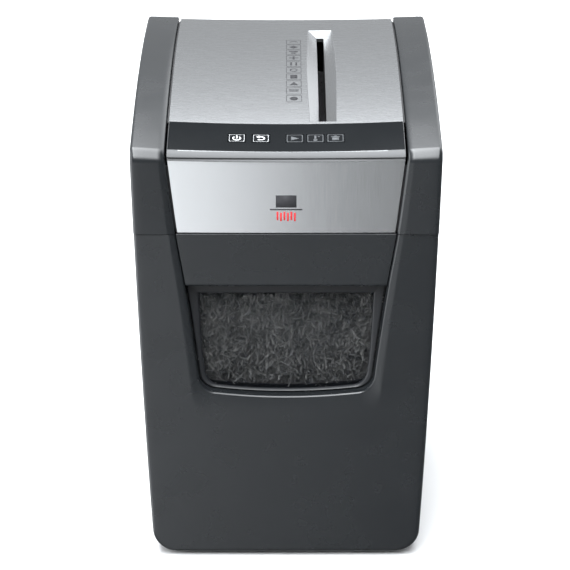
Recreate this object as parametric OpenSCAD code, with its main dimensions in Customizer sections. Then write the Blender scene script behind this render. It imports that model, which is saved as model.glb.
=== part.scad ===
// Slim cross-cut paper shredder: a cutting head on a floor-standing cabinet with a pull-out bin.
// Millimetres. +Z is up, the front faces -Y and +X is to the right of a person facing the front.
// The origin is on the floor, at the centre of the footprint.

/* [Body] */
// Greatest width, across the two arms of the head
body_w = 270; // [264:1:290]
// Depth from the front plane to the back
body_d = 340; // [336:1:350]
// Height of the shoulder, where the front plane turns into the top
shoulder_z = 373; // [372:1:376]
// Height of the highest line of the top
crest_z = 424.5; // [422:0.5:425]
// Radius of the gently domed top, seen from the side
top_r = 1070; // [1060:10:1090]
// Radius of the bend between the front and the top
bend_r = 13; // [11:0.5:14]
// Height of the seam between the head and the bin
seam_z = 305; // [304:0.5:306]
// Radius of the two bottom corners, seen from the front
corner_r = 22; // [14:1:28]
// Wall thickness of the plastic mouldings
wall = 2.5; // [2:0.1:3]

/* [Top] */
// Half width of the silver top panel
panel_half = 103; // [100:0.5:103]
// Depth of the panel's surface below the arms
panel_drop = 3; // [2:0.5:4]
// Sheet thickness of the panel and the band
panel_t = 2.5; // [2:0.1:3]
// Width of the shadow gap around the silver parts
shadow_gap = 2; // [1.5:0.1:2.5]
// Sideways place of the paper slot
slot_x = 32.5; // [30:0.5:34]
// Width of the slot at its throat
throat_w = 7; // [5:0.5:8]
// Width of the funnel at its rim
funnel_w = 25; // [22:0.5:27]
// Depth of the funnel
funnel_drop = 6.3; // [5:0.1:7]
// Front and back ends of the funnel's rim
funnel_y = [-109, 121]; // [-110:1:121]

/* [Cutters] */
// Distance between the two cutter shafts
shaft_gap = 38; // [38:0.1:38]
// Height of the cutter shafts
shaft_z = 348; // [346:0.5:349]
// Radius of the cutting discs
disc_r = 21; // [20.6:0.1:21]
// Radius of the cylinder between the discs
spacer_r = 16.3; // [15.8:0.1:16.4]
// Thickness of one disc
disc_t = 1.9; // [1.7:0.1:1.9]
// Distance from one disc to the next
disc_pitch = 4.4; // [4.4:0.1:4.6]
// Number of discs on a cutter
disc_count = 50; // [40:1:50]
// Radius of the cutter journals
journal_r = 6; // [5:0.5:7]

/* [Bin] */
// Depth of the moulded bin front, from front to back
front_depth = 24; // [22:1:26]
// Height of the tub's rim
tub_top = 272; // [260:1:274]
// Top of the heap of shredded paper
heap_top = 242; // [150:1:250]
// Height of the lower edge of the grip panel
grip_z = 256; // [250:1:262]
// Lean of the window, in degrees back from upright
window_lean = 5; // [0:1:7]

/* [Hidden] */

charcoal = "#45494a";
dark = "#2b2e30";
silver = "#c3c5c6";
steel = "#9a9da0";
bronze = "#a9804a";
white_nylon = "#e4e2d8";
board_green = "#1f6b45";

front_y = -body_d / 2;
back_y = body_d / 2;
floor_z = 3;
crest_y = back_y - 30;
arc_z = crest_z - top_r;
arm_inner = panel_half + shadow_gap;
band_top_half = 102;
band_foot_half = 94;
band_drop = 3.5;
leg_inner = band_foot_half + shadow_gap;
moving_gap = 0.6;

// Taper of the body below the shoulder: half the width at a height.
taper_a = 0.0258;
taper_b = 0.0000435;
function half_at(z) =
    let (h = max(0, shoulder_z - z)) body_w / 2 - taper_a * h - taper_b * h * h;

// Angle, seen from the dome's centre, of the point of the top at depth y.
function top_angle(y, inset = 0) = asin((y - crest_y) / (top_r - inset));
function top_z(y, inset = 0) = arc_z + (top_r - inset) * cos(top_angle(y, inset));

// ---------- shared shapes ----------

// Draws an outline that is the same on both sides of the centre line, from its right half.
module mirrored_outline(right) {
    polygon(concat(right, [for (i = [len(right) - 1 : -1 : 0]) [-right[i][0], right[i][1]]]));
}

// The tapering head seen from the front, from z0 up to z1.
module head_outline(inset, z0, z1, steps = 6) {
    mirrored_outline([for (i = [0 : steps]) let (z = z0 + (z1 - z0) * i / steps) [half_at(z) - inset, z]]);
}

// Cabinet and bin seen from the front, with two rounded bottom corners.
module body_outline(inset = 0, top = seam_z) {
    base = floor_z + corner_r;
    mirrored_outline(concat(
        [for (a = [-90 : 10 : 0])
            [half_at(base) - corner_r + (corner_r - inset) * cos(a), base + (corner_r - inset) * sin(a)]],
        [for (i = [1 : 6]) let (z = base + (top - base) * i / 6) [half_at(z) - inset, z]]));
}

// Extrudes a front outline (X, Z) along Y from y0 to y1.
module along_y(y0, y1) {
    translate([0, y1, 0]) rotate([90, 0, 0]) linear_extrude(y1 - y0) children();
}

// Bends a section (radius, X) along the domed top from depth y0 to y1.
module along_top(y0, y1) {
    a0 = top_angle(y0);
    a1 = top_angle(y1);
    translate([0, crest_y, arc_z]) rotate([0, -90, 0]) mirror([0, 0, 1]) rotate([0, 0, a0])
        rotate_extrude(angle = a1 - a0, $fn = 1440) children();
}

// Section for along_top: a band from x0 to x1, between two depths below the top.
module top_strip(x0, x1, depth0, depth1) {
    translate([top_r - depth1, x0]) square([depth1 - depth0, x1 - x0]);
}

// Puts a child on the domed top, with its own +Z along the surface normal.
module on_top(x, y, depth = 0) {
    a = top_angle(y);
    translate([x, crest_y + (top_r - depth) * sin(a), arc_z + (top_r - depth) * cos(a)])
        rotate([-a, 0, 0]) children();
}

// Outside of the head, moved inwards by a distance.
module head_shape(inset = 0, bottom = seam_z) {
    r = bend_r - min(inset, bend_r - 1);
    front = front_y + inset;
    cy = front + r;
    cz = arc_z + sqrt(pow(top_r - inset - r, 2) - pow(cy - crest_y, 2));
    tangent_y = crest_y + (top_r - inset) * (cy - crest_y) / (top_r - inset - r);
    difference() {
        intersection() {
            along_y(front, back_y - inset) head_outline(inset, bottom, crest_z + 20);
            translate([0, crest_y, arc_z]) rotate([0, 90, 0])
                cylinder(r = top_r - inset, h = body_w + 40, center = true, $fn = 1440);
            translate([-body_w, front_y, bottom]) cube([2 * body_w, body_d, 200]);
        }
        difference() {
            translate([-body_w, front - 1, cz]) cube([2 * body_w, tangent_y - front + 1, 2 * bend_r]);
            translate([0, cy, cz]) rotate([0, 90, 0])
                cylinder(r = r, h = 3 * body_w, center = true, $fn = 96);
        }
    }
}

// Points (y, z) of a line that runs at a depth below the head's surface, from y_back to the bend and
// on round it as far down as z_foot.
function side_line(depth, y_back, z_foot) =
    let (cy = front_y + bend_r,
         cz = arc_z + sqrt(pow(top_r - bend_r, 2) - pow(cy - crest_y, 2)),
         lean = asin((crest_y - cy) / (top_r - bend_r)),
         foot = acos((z_foot - cz) / (bend_r - depth)),
         y_front = cy - (bend_r - depth) * sin(lean))
    concat(
        [for (i = [0 : 24]) let (y = y_back + (y_front - y_back) * i / 24) [y, top_z(y, depth)]],
        [for (i = [1 : 6]) let (b = lean + (foot - lean) * i / 6)
            [cy - (bend_r - depth) * sin(b), cz + (bend_r - depth) * cos(b)]]);

// Bent sheet that follows the head's side line at a depth, across +-half.
module bent_sheet(depth, thickness, half, y_back, z_foot) {
    inner = side_line(depth + thickness, y_back, z_foot);
    translate([-half, 0, 0]) rotate([90, 0, 90]) linear_extrude(2 * half)
        polygon(concat(side_line(depth, y_back, z_foot), [for (i = [len(inner) - 1 : -1 : 0]) inner[i]]));
}

// Region outside the shadow gap on one side: side is -1 for left, +1 for right.
module side_zone(side, inset = 0) {
    along_y(front_y - 5, back_y + 5)
        polygon([for (p = [
            [arm_inner + inset, crest_z + 30], [arm_inner + inset, shoulder_z],
            [leg_inner + inset, seam_z - 5], [body_w, seam_z - 5], [body_w, crest_z + 30]])
            [side * p[0], p[1]]]);
}

// A screw whose head lies on z = 0 and whose shank points down.
module screw(r, length, head_r, head_h) {
    difference() {
        union() {
            cylinder(r = head_r, h = head_h, $fn = 32);
            translate([0, 0, -length]) cylinder(r = r, h = length + 0.1, $fn = 32);
        }
        for (a = [0, 90]) rotate(a)
            translate([-head_r * 0.6, -0.4, head_h * 0.45]) cube([head_r * 1.2, 0.8, head_h]);
    }
}

// A part that turns about a line along +Y through (x, z), starting at depth y.
module spindle(x, y, z, turn = 0) {
    translate([x, y, z]) rotate([-90, 0, 0]) rotate([0, 0, turn]) children();
}

// ---------- gears ----------

pressure = 20;
backlash = 0.25;
function involute(a) = tan(a) * 180 / PI - a;
function tooth_half(r, pitch_r, teeth) =
    90 / teeth - backlash / pitch_r * 90 / PI
    + involute(pressure) - involute(acos(min(1, pitch_r * cos(pressure) / r)));

// Outline of a spur gear with one tooth centred on the +x axis.
module gear_outline(teeth, m) {
    pitch_r = teeth * m / 2;
    root_r = pitch_r - 1.25 * m;
    tip_r = pitch_r + 0.95 * m;
    start_r = max(root_r + 0.05, pitch_r * cos(pressure));
    radii = [root_r, start_r, (start_r + pitch_r) / 2 + 0.1 * m, pitch_r + 0.4 * m, tip_r];
    polygon([for (i = [0 : teeth - 1], s = [-1, 1], k = [0 : 4])
        let (r = radii[s < 0 ? k : 4 - k],
             a = 360 * i / teeth + s * tooth_half(max(r, start_r), pitch_r, teeth))
        r * [cos(a), sin(a)]]);
}

module gear(teeth, m, width, bore_r) {
    linear_extrude(width) difference() {
        gear_outline(teeth, m);
        circle(r = bore_r, $fn = 48);
    }
}

// Gear train: teeth, modules and centres, from the cutter back to the motor.
main_teeth = 44;
near_small = 14;
near_large = 48;
far_small = 12;
far_large = 50;
pinion_teeth = 12;
sync_teeth = 19;
main_m = 1.5;
fine_m = 1;
sync_m = shaft_gap / sync_teeth;
left_x = slot_x - shaft_gap / 2;
right_x = slot_x + shaft_gap / 2;
near_turn = 170;
far_turn = 200;
pinion_turn = 172;
function step(from, turn, d) = from + d * [cos(turn), sin(turn)];
main_c = [left_x, shaft_z];
near_c = step(main_c, near_turn, (main_teeth + near_small) * main_m / 2);
far_c = step(near_c, far_turn, (near_large + far_small) * fine_m / 2);
motor_c = step(far_c, pinion_turn, (far_large + pinion_teeth) * fine_m / 2);
main_y = 124;
fine_y = 138;
motor_gear_y = 146;
gear_plate_y = 155;

// ---------- cutting unit ----------

plate_y = 116;
plate_t = 3;
plate_top = 380;
plate_foot = seam_z + 3;
front_plate_x = [-34, 99];
rear_plate_x = [-124, 99];
rod_places = [[-25, 322], [-25, 372], [90, 322], [90, 372]];
rod_r = 4;
bush_r = 9;
bush_clear = 0.05;
motor_bush_r = 7;
motor_shaft_r = 4;
first_disc = -disc_count * disc_pitch / 2 + 0.4;

// Shaft with a stack of discs, as one turned piece with six hooked flutes.
module cutter(x, shift, front_end, rear_end) {
    starts = [for (k = [0 : disc_count - 1]) first_disc + shift + k * disc_pitch];
    outline = concat(
        [[0, front_end], [journal_r, front_end], [journal_r, -plate_y + 1], [spacer_r, -plate_y + 1]],
        [for (s = starts, p = [[spacer_r, 0], [disc_r, 0], [disc_r, disc_t], [spacer_r, disc_t]])
            [p[0], s + p[1]]],
        [[spacer_r, plate_y - 1], [journal_r, plate_y - 1], [journal_r, rear_end], [0, rear_end]]);
    spindle(x, 0, shaft_z) difference() {
        rotate_extrude($fn = 72) polygon(outline);
        for (i = [0 : 5]) rotate(i * 60 + shift * 6)
            translate([disc_r - 2.2, 0, -plate_y + 2]) linear_extrude(2 * plate_y - 4)
                polygon([[0, 0], [4, -0.6], [4, 5]]);
    }
}

module cutter_left() {
    color(steel) cutter(left_x, 0, -134, main_y + 13);
}

module cutter_right() {
    color(steel) cutter(right_x, disc_pitch / 2, -134, plate_y + plate_t + 2);
}

module sync_gear_left() {
    color(white_nylon) spindle(left_x, -133, shaft_z, 0)
        gear(sync_teeth, sync_m, 11, journal_r + 0.02);
}

module sync_gear_right() {
    color(white_nylon) spindle(right_x, -133, shaft_z, 180 + 180 / sync_teeth)
        gear(sync_teeth, sync_m, 11, journal_r + 0.02);
}

// Side plate with bearing holes; holes is a list of [x, z, radius]. Its foot is bent towards foot_dir.
foot_d = 11;
foot_screw_y = plate_y + plate_t + foot_d / 2;
module side_plate(x_range, y, foot_dir, holes) {
    foot_y = foot_dir < 0 ? y - foot_d : y + plate_t;
    color(steel) difference() {
        union() {
            along_y(y, y + plate_t) offset(r = 4, $fn = 32) offset(delta = -4)
                polygon([[x_range[0], plate_foot], [x_range[1], plate_foot],
                    [x_range[1], plate_top], [x_range[0], plate_top]]);
            translate([x_range[0] + 6, foot_y, plate_foot])
                cube([x_range[1] - x_range[0] - 12, foot_d, 2]);
            translate([x_range[0] + 6, y, plate_foot]) cube([x_range[1] - x_range[0] - 12, plate_t, 6]);
        }
        for (h = holes) spindle(h[0], y - 1, h[1]) cylinder(r = h[2], h = plate_t + 2, $fn = 48);
        for (x = screw_xs(x_range)) translate([x, foot_y + foot_d / 2, plate_foot - 1])
            cylinder(r = 2.1, h = 4, $fn = 32);
    }
}

function screw_xs(x_range) = [x_range[0] + 16, x_range[1] - 16];
shaft_holes = [[left_x, shaft_z, bush_r + 0.02], [right_x, shaft_z, bush_r + 0.02]];
rod_holes = [for (p = rod_places) [p[0], p[1], 3.1]];

module front_side_plate() {
    side_plate(front_plate_x, -plate_y - plate_t, -1, concat(shaft_holes, rod_holes));
}

module rear_side_plate() {
    side_plate(rear_plate_x, plate_y, 1, concat(shaft_holes, rod_holes, [
        [motor_c[0], motor_c[1], motor_bush_r + 0.02],
        [near_c[0], near_c[1], 3.02], [far_c[0], far_c[1], 3.02],
        for (s = [-1, 1]) [motor_c[0] + s * 21, motor_c[1] + s * 21, 2.1]]));
}

module tie_rods() {
    color(steel) for (p = rod_places) spindle(p[0], -plate_y, p[1]) {
        cylinder(r = rod_r, h = 2 * plate_y, $fn = 32);
        translate([0, 0, -9]) cylinder(r = 3, h = 2 * plate_y + 18, $fn = 32);
    }
}

module rod_nuts() {
    color(steel) for (p = rod_places, y = [-plate_y - plate_t - 5, plate_y + plate_t])
        spindle(p[0], y, p[1]) difference() {
            cylinder(r = 6, h = 5, $fn = 6);
            translate([0, 0, -1]) cylinder(r = 3.05, h = 7, $fn = 32);
        }
}

module plate_screws() {
    color(steel) {
        for (x = screw_xs(front_plate_x)) translate([x, -foot_screw_y, plate_foot + 2])
            screw(2, 4.6, 4, 2.2);
        for (x = screw_xs(rear_plate_x)) translate([x, foot_screw_y, plate_foot + 2])
            screw(2, 4.6, 4, 2.2);
    }
}

// Flanged sleeve that a journal runs in; the flange is on the outer side of the plate.
module bush(outer_r, inner_r) {
    rotate_extrude($fn = 48) polygon([
        [inner_r, 0], [outer_r, 0], [outer_r, plate_t], [outer_r + 2.5, plate_t],
        [outer_r + 2.5, plate_t + 1], [inner_r, plate_t + 1]]);
}

module front_bushes() {
    color(bronze) for (x = [left_x, right_x])
        translate([x, -plate_y, shaft_z]) rotate([90, 0, 0]) bush(bush_r, journal_r + bush_clear);
}

module rear_bushes() {
    color(bronze) {
        for (x = [left_x, right_x]) spindle(x, plate_y, shaft_z) bush(bush_r, journal_r + bush_clear);
        spindle(motor_c[0], plate_y, motor_c[1]) bush(motor_bush_r, motor_shaft_r + bush_clear);
    }
}

// Bar with fingers that reach between the discs of one cutter and push the cut paper out.
module stripper_comb(side) {
    x = slot_x + side * shaft_gap / 2;
    shift = side > 0 ? disc_pitch / 2 : 0;
    gap = disc_pitch - disc_t;
    finger_t = 1.5;
    bar_x = x + side * (disc_r + 2);
    color(dark) difference() {
        union() {
            translate([min(bar_x, bar_x + side * 6), -plate_y, shaft_z - 15])
                cube([6, 2 * plate_y, 30]);
            for (k = [0 : disc_count - 2])
                translate([min(x + side * 10, bar_x + side), first_disc + shift
                    + k * disc_pitch + disc_t + (gap - finger_t) / 2, shaft_z - 9])
                    cube([disc_r - 7, finger_t, 18]);
        }
        spindle(x, -plate_y - 1, shaft_z) cylinder(r = spacer_r + 0.5, h = 2 * plate_y + 2, $fn = 96);
    }
}

module stripper_comb_left() {
    stripper_comb(-1);
}

module stripper_comb_right() {
    stripper_comb(1);
}

// One wall of the paper channel between the funnel and the cutters.
module throat_guide(side) {
    inner = slot_x + side * throat_w / 2;
    outer = inner + side * 1.5;
    flange = inner + side * 6;
    color(dark) intersection() {
        union() {
            translate([min(inner, outer), -plate_y, shaft_z + 19]) cube([1.5, 2 * plate_y, 70]);
            translate([min(inner, flange), -plate_y, shaft_z + 22]) cube([6, 8, 70]);
            translate([min(inner, flange), plate_y - 8, shaft_z + 22]) cube([6, 8, 70]);
        }
        head_shape(panel_drop + funnel_drop + 2);
    }
}

module throat_guide_left() {
    throat_guide(-1);
}

module throat_guide_right() {
    throat_guide(1);
}

// ---------- gear train ----------

main_phase = -near_turn;
near_phase = -(near_turn + 180 + 180 / near_small);
near_large_phase = -far_turn;
far_phase = -(far_turn + 180 + 180 / far_small);
far_large_phase = -pinion_turn;
pinion_phase = -(pinion_turn + 180 + 180 / pinion_teeth);

module main_gear() {
    color(white_nylon) {
        difference() {
            spindle(main_c[0], main_y, main_c[1], main_phase)
                gear(main_teeth, main_m, 12, journal_r + 0.02);
            for (i = [0 : 5]) spindle(main_c[0], main_y + 9, main_c[1], i * 60)
                translate([19, 0, 0]) cylinder(r = 6, h = 5, $fn = 32);
        }
    }
}

module idler_gear_near() {
    color(white_nylon) difference() {
        union() {
            spindle(near_c[0], main_y, near_c[1], near_phase) gear(near_small, main_m, 13.2, 2);
            spindle(near_c[0], main_y + 13, near_c[1]) cylinder(r = 8, h = 2, $fn = 48);
            spindle(near_c[0], fine_y, near_c[1], near_large_phase) gear(near_large, fine_m, 6.5, 2);
        }
        spindle(near_c[0], main_y - 1, near_c[1]) cylinder(r = 4.05, h = 40, $fn = 48);
    }
}

module idler_gear_far() {
    color(white_nylon) difference() {
        union() {
            spindle(far_c[0], fine_y - 1, far_c[1], far_phase) gear(far_small, fine_m, 8.2, 2);
            spindle(far_c[0], motor_gear_y, far_c[1], far_large_phase) gear(far_large, fine_m, 6.5, 2);
            spindle(far_c[0], fine_y + 7.1, far_c[1]) cylinder(r = 6.5, h = 2, $fn = 48);
        }
        spindle(far_c[0], fine_y - 3, far_c[1]) cylinder(r = 4.05, h = 40, $fn = 48);
    }
}

// Stepped pins between the rear side plate and the gear end plate.
module idler_pins() {
    color(steel) for (c = [near_c, far_c]) spindle(c[0], plate_y + plate_t, c[1]) {
        cylinder(r = 4, h = gear_plate_y - plate_y - plate_t, $fn = 48);
        translate([0, 0, -plate_t]) cylinder(r = 3, h = gear_plate_y - plate_y + 2, $fn = 48);
    }
}

// Outer plate that carries the idler pins and the end of the motor shaft.
module gear_end_plate() {
    posts = [[near_c[0] - 29, near_c[1] + 20], [motor_c[0] + 2, motor_c[1] - 34],
        [near_c[0] + 14, near_c[1] - 40]];
    color(steel) difference() {
        union() {
            along_y(gear_plate_y, gear_plate_y + 2) hull() {
                for (p = posts) translate(p) circle(r = 6, $fn = 32);
                translate(motor_c) circle(r = 12, $fn = 32);
            }
            for (p = posts) spindle(p[0], plate_y + plate_t, p[1])
                cylinder(r = 3, h = gear_plate_y - plate_y - plate_t + 0.1, $fn = 32);
        }
        for (c = [near_c, far_c]) spindle(c[0], gear_plate_y - 1, c[1])
            cylinder(r = 3.02, h = 4, $fn = 48);
        spindle(motor_c[0], gear_plate_y - 1, motor_c[1])
            cylinder(r = motor_shaft_r + bush_clear, h = 4, $fn = 48);
    }
}

// ---------- motor ----------

stator_y = 22;
stator_len = 46;
bracket_y = -8;
fan_y = 82;

module motor_pinion() {
    color(steel) spindle(motor_c[0], motor_gear_y - 0.5, motor_c[1], pinion_phase)
        gear(pinion_teeth, fine_m, 7.5, motor_shaft_r + 0.02);
}

// Shaft, laminated armature, windings and commutator.
module motor_rotor() {
    color(steel) spindle(motor_c[0], 0, motor_c[1]) {
        difference() {
            union() {
                translate([0, 0, bracket_y - 6]) cylinder(r = motor_shaft_r, h = 171, $fn = 48);
                translate([0, 0, stator_y]) cylinder(r = 16.5, h = stator_len, $fn = 64);
            }
            for (i = [0 : 11]) rotate(i * 30) translate([14.5, -1, stator_y - 1])
                cube([4, 2, stator_len + 2]);
        }
    }
    color(bronze) spindle(motor_c[0], 0, motor_c[1]) {
        for (z = [stator_y - 9, stator_y + stator_len]) translate([0, 0, z]) difference() {
            cylinder(r = 14, h = 9, $fn = 48);
            translate([0, 0, -1]) cylinder(r = motor_shaft_r, h = 11, $fn = 48);
        }
        translate([0, 0, 0]) difference() {
            cylinder(r = 9, h = stator_y - 9, $fn = 48);
            translate([0, 0, -1]) cylinder(r = motor_shaft_r, h = 20, $fn = 48);
        }
    }
}

module motor_fan() {
    color(dark) spindle(motor_c[0], fan_y, motor_c[1]) difference() {
        union() {
            cylinder(r = 26, h = 1.6, $fn = 64);
            cylinder(r = 8, h = 14, $fn = 48);
            for (i = [0 : 11]) rotate(i * 30) translate([7, -0.7, 0]) cube([18.5, 1.4, 13]);
        }
        translate([0, 0, -1]) cylinder(r = motor_shaft_r + 0.02, h = 20, $fn = 48);
    }
}

module motor_stator() {
    color(steel) spindle(motor_c[0], stator_y, motor_c[1]) difference() {
        intersection() {
            translate([-28, -25, 0]) cube([56, 50, stator_len]);
            cylinder(r = 33, h = stator_len, $fn = 96);
        }
        translate([0, 0, -1]) cylinder(r = 17.2, h = stator_len + 2, $fn = 96);
        for (s = [-1, 1]) translate([s * 21, s * -21, -1]) cylinder(r = 2.1, h = stator_len + 2, $fn = 32);
    }
    color(bronze) spindle(motor_c[0], stator_y, motor_c[1])
        for (s = [-1, 1], z = [-8, stator_len]) translate([s * 21 - 4, -14, z]) cube([8, 28, 8]);
}

module motor_bracket() {
    color(steel) difference() {
        union() {
            translate([motor_c[0] - 31, bracket_y, plate_foot]) cube([62, 3, 72]);
            translate([motor_c[0] - 31, bracket_y - 11, plate_foot]) cube([62, 12, 2]);
            spindle(motor_c[0], bracket_y - 4, motor_c[1]) cylinder(r = 9, h = 5, $fn = 48);
        }
        spindle(motor_c[0], bracket_y - 5, motor_c[1])
            cylinder(r = motor_shaft_r + bush_clear, h = 12, $fn = 48);
        for (s = [-1, 1]) spindle(motor_c[0] + s * 21, bracket_y - 1, motor_c[1] + s * 21)
            cylinder(r = 2.1, h = 6, $fn = 32);
    }
}

// Two long bolts that clamp the stator between the bracket and the rear side plate.
module motor_bolts() {
    color(steel) for (s = [-1, 1]) spindle(motor_c[0] + s * 21, 0, motor_c[1] + s * 21) {
        translate([0, 0, bracket_y - 3]) cylinder(r = 4, h = 3, $fn = 6);
        translate([0, 0, bracket_y - 0.1]) cylinder(r = 2, h = plate_y - bracket_y + 4, $fn = 32);
    }
}

module brush_holders() {
    color(bronze) for (s = [-1, 1]) {
        translate([motor_c[0] + s * 16.5 - 7, 3, motor_c[1] - 4]) cube([14, 8, 8]);
        translate([motor_c[0] + s * 20 - 3, bracket_y + 3, motor_c[1] - 4])
            cube([6, 3 - bracket_y - 3, 8]);
    }
}

// ---------- head mouldings ----------

chute_x = [-12, 77];
chute_y = [-112, 112];

module side_cover(side) {
    color(charcoal) difference() {
        intersection() {
            head_shape();
            side_zone(side);
        }
        intersection() {
            head_shape(wall, seam_z - 10);
            side_zone(side, wall);
        }
        intersection() {
            translate([0, 0, -14]) head_shape(wall, seam_z - 10);
            side_zone(side, -20);
        }
    }
}

module left_cover() {
    side_cover(-1);
}

module right_cover() {
    side_cover(1);
}

rocker_place = [84, 336];
gland_place = [60, 330];
gland_bore_r = 3.6;

panel_back = back_y - 0.6;
under_panel = panel_drop + panel_t + 0.2;

// Back of the head: a wall with air slots that reaches up to the underside of the silver panel.
module rear_cover() {
    color(charcoal) difference() {
        intersection() {
            head_shape();
            along_y(back_y - wall - 5, back_y + 1)
                polygon([[-leg_inner + 0.4, seam_z], [leg_inner - 0.4, seam_z],
                    [arm_inner - 0.4, shoulder_z], [arm_inner - 0.4, crest_z + 5],
                    [-arm_inner + 0.4, crest_z + 5], [-arm_inner + 0.4, shoulder_z]]);
        }
        head_shape(wall, seam_z - 10);
        along_top(back_y - 30, back_y + 5) top_strip(-body_w, body_w, -10, under_panel);
        for (i = [0 : 15], z = [322, 352]) translate([-88 + i * 7.2, back_y - 5, z])
            cube([3, 10, 22]);
        translate([rocker_place[0] - 7.2, back_y - 5, rocker_place[1] - 10.7]) cube([14.4, 10, 21.4]);
        spindle(gland_place[0], back_y - 5, gland_place[1]) cylinder(r = 8.02, h = 10, $fn = 48);
    }
}

strip_y = [-160.2, -113];

// Funnel section: a trapezium from a height above the panel's surface down to the throat.
throat_ledge = 0.3;
module funnel_section(grow, above, drop) {
    r0 = top_r - panel_drop;
    rim = (funnel_w - throat_w) / 2 * above / funnel_drop;
    polygon([
        [r0 + above, slot_x - funnel_w / 2 - rim - grow], [r0 + above, slot_x + funnel_w / 2 + rim + grow],
        [r0 - drop, slot_x + throat_w / 2 + throat_ledge + grow],
        [r0 - drop, slot_x - throat_w / 2 - throat_ledge - grow]]);
}

// Silver panel with its front lip, the pocket for the control strip and the paper funnel.
module top_panel() {
    color(silver) difference() {
        union() {
            bent_sheet(panel_drop, panel_t, panel_half, panel_back, shoulder_z);
            along_top(funnel_y[0] + 1, funnel_y[1] - 1) funnel_section(1.6, -0.5, funnel_drop + 1.4);
        }
        along_top(funnel_y[0] + 3, funnel_y[1] - 3) funnel_section(0, 0.6, funnel_drop);
        along_top(funnel_y[0] + 6.3, funnel_y[1] - 6.3)
            top_strip(slot_x - throat_w / 2, slot_x + throat_w / 2, panel_drop - 1, panel_drop + funnel_drop + 3);
        along_top(strip_y[0], strip_y[1]) top_strip(2 - panel_half, panel_half - 2, panel_drop - 2, panel_drop + 9);
    }
}

// Dark frame that carries the panel and closes the shadow gap from below.
module top_frame() {
    back = back_y - wall - 0.6;
    color(dark) {
        for (s = [-1, 1]) along_top(strip_y[1] + 3, back)
            top_strip(s > 0 ? panel_half - 5 : -arm_inner + 0.3, s > 0 ? arm_inner - 0.3 : 5 - panel_half,
                under_panel, under_panel + 3);
        along_top(back - 8, back - 0.3)
            top_strip(1 - panel_half, panel_half - 1, under_panel + 0.2, under_panel + 2.6);
    }
}

// Silver band across the front, narrower towards its foot.
module front_band() {
    z0 = seam_z + 0.4;
    z1 = shoulder_z - 0.8;
    color(silver) {
        along_y(front_y + band_drop, front_y + band_drop + panel_t)
            polygon([[-band_foot_half, z0], [band_foot_half, z0], [band_top_half, z1], [-band_top_half, z1]]);
        for (s = [-1, 1], z = [318, 352]) translate([s * 70 - 6, front_y + band_drop + panel_t - 0.1, z])
            cube([12, 1.1, 4]);
    }
}

// Dark frame behind the band, standing on the head base.
module front_frame() {
    y = front_y + band_drop + panel_t + 1;
    color(dark) {
        along_y(y, y + 2)
            polygon([[-leg_inner - 6, plate_foot], [leg_inner + 6, plate_foot],
                [arm_inner + 6, shoulder_z - 8], [-arm_inner - 6, shoulder_z - 8]]);
        for (s = [-1, 1]) translate([s * 60 - 10, y + 1.9, plate_foot]) cube([20, 10, 2.5]);
    }
}

button_y = -139;
button_w = 16;
button_d = 14.5;
button_xs = [-43, -22];
lens_xs = [7.5, 25.5, 43];
button_gap = 0.35;
key_travel = 0.8;
key_foot = 7.6;
strip_bottom = panel_drop + 4;

// Glossy strip with holes for two keys and three lenses.
module control_strip() {
    color(dark) difference() {
        union() {
            along_top(strip_y[0] + 0.3, strip_y[1] - 0.3)
                top_strip(2.3 - panel_half, panel_half - 2.3, panel_drop + 0.3, panel_drop + 2.8);
            along_top(strip_y[0] + 0.3, strip_y[1] + 2)
                top_strip(0.2 - panel_half, panel_half - 0.2, panel_drop + 2.6, strip_bottom);
        }
        for (x = button_xs) on_top(x, button_y, 3)
            cube([button_w, button_d, 20], center = true);
        for (x = lens_xs) on_top(x, button_y, 3) cube([button_w, button_d, 20], center = true);
    }
}

// Key with a stem that reaches the switch on the board below it.
module key(x) {
    w = button_w - 2 * button_gap;
    d = button_d - 2 * button_gap;
    on_top(x, button_y, panel_drop) {
        translate([-w / 2, -d / 2, -4.2]) cube([w, d, 4]);
        translate([0, 0, -key_foot]) cylinder(r = 2.5, h = key_foot - 4, $fn = 32);
    }
}

module power_button() {
    color(dark) key(button_xs[0]);
}

module reverse_button() {
    color(dark) key(button_xs[1]);
}

module indicator_lenses() {
    color("#6a6e71") for (x = lens_xs) on_top(x, button_y, panel_drop) {
        translate([-button_w / 2 + 0.05, -button_d / 2 + 0.05, -2.8])
            cube([button_w - 0.1, button_d - 0.1, 2.4]);
    }
}

board_y = -146;
board_depth = 15.5;
board_w = 176;
board_d = 30;

// Small circuit board under the control strip, carried by four pillars on the strip.
module control_board() {
    color(board_green) on_top(0, board_y, board_depth) difference() {
        translate([-board_w / 2, -board_d / 2, -1.6]) cube([board_w, board_d, 1.6]);
        for (sx = [-1, 1], sy = [-1, 1]) translate([sx * (board_w / 2 - 5), sy * (board_d / 2 - 5), -3])
            cylinder(r = 1.6, h = 5, $fn = 32);
    }
}

// Key switches, light-emitting diodes, the controller chip, a connector and the four board pillars.
module board_components() {
    under_key = board_depth - panel_drop - key_foot - key_travel - 0.2;
    key_shift = button_y - board_y;
    color(dark) on_top(0, board_y, board_depth) {
        for (x = button_xs) translate([x - 3, key_shift - 3, 0]) cube([6, 6, under_key]);
        translate([60, -7, 0]) cube([14, 10, 2]);
        translate([-75, -8, 0]) cube([9, 18, 6]);
        for (sx = [-1, 1], sy = [-1, 1]) translate([sx * (board_w / 2 - 5), sy * (board_d / 2 - 5), 0])
            cylinder(r = 2.6, h = board_depth - strip_bottom - 0.1, $fn = 32);
    }
    color("white") on_top(0, board_y, board_depth)
        for (x = lens_xs) translate([x, key_shift, 0]) cylinder(r = 1.5, h = 4, $fn = 32);
}

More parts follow.
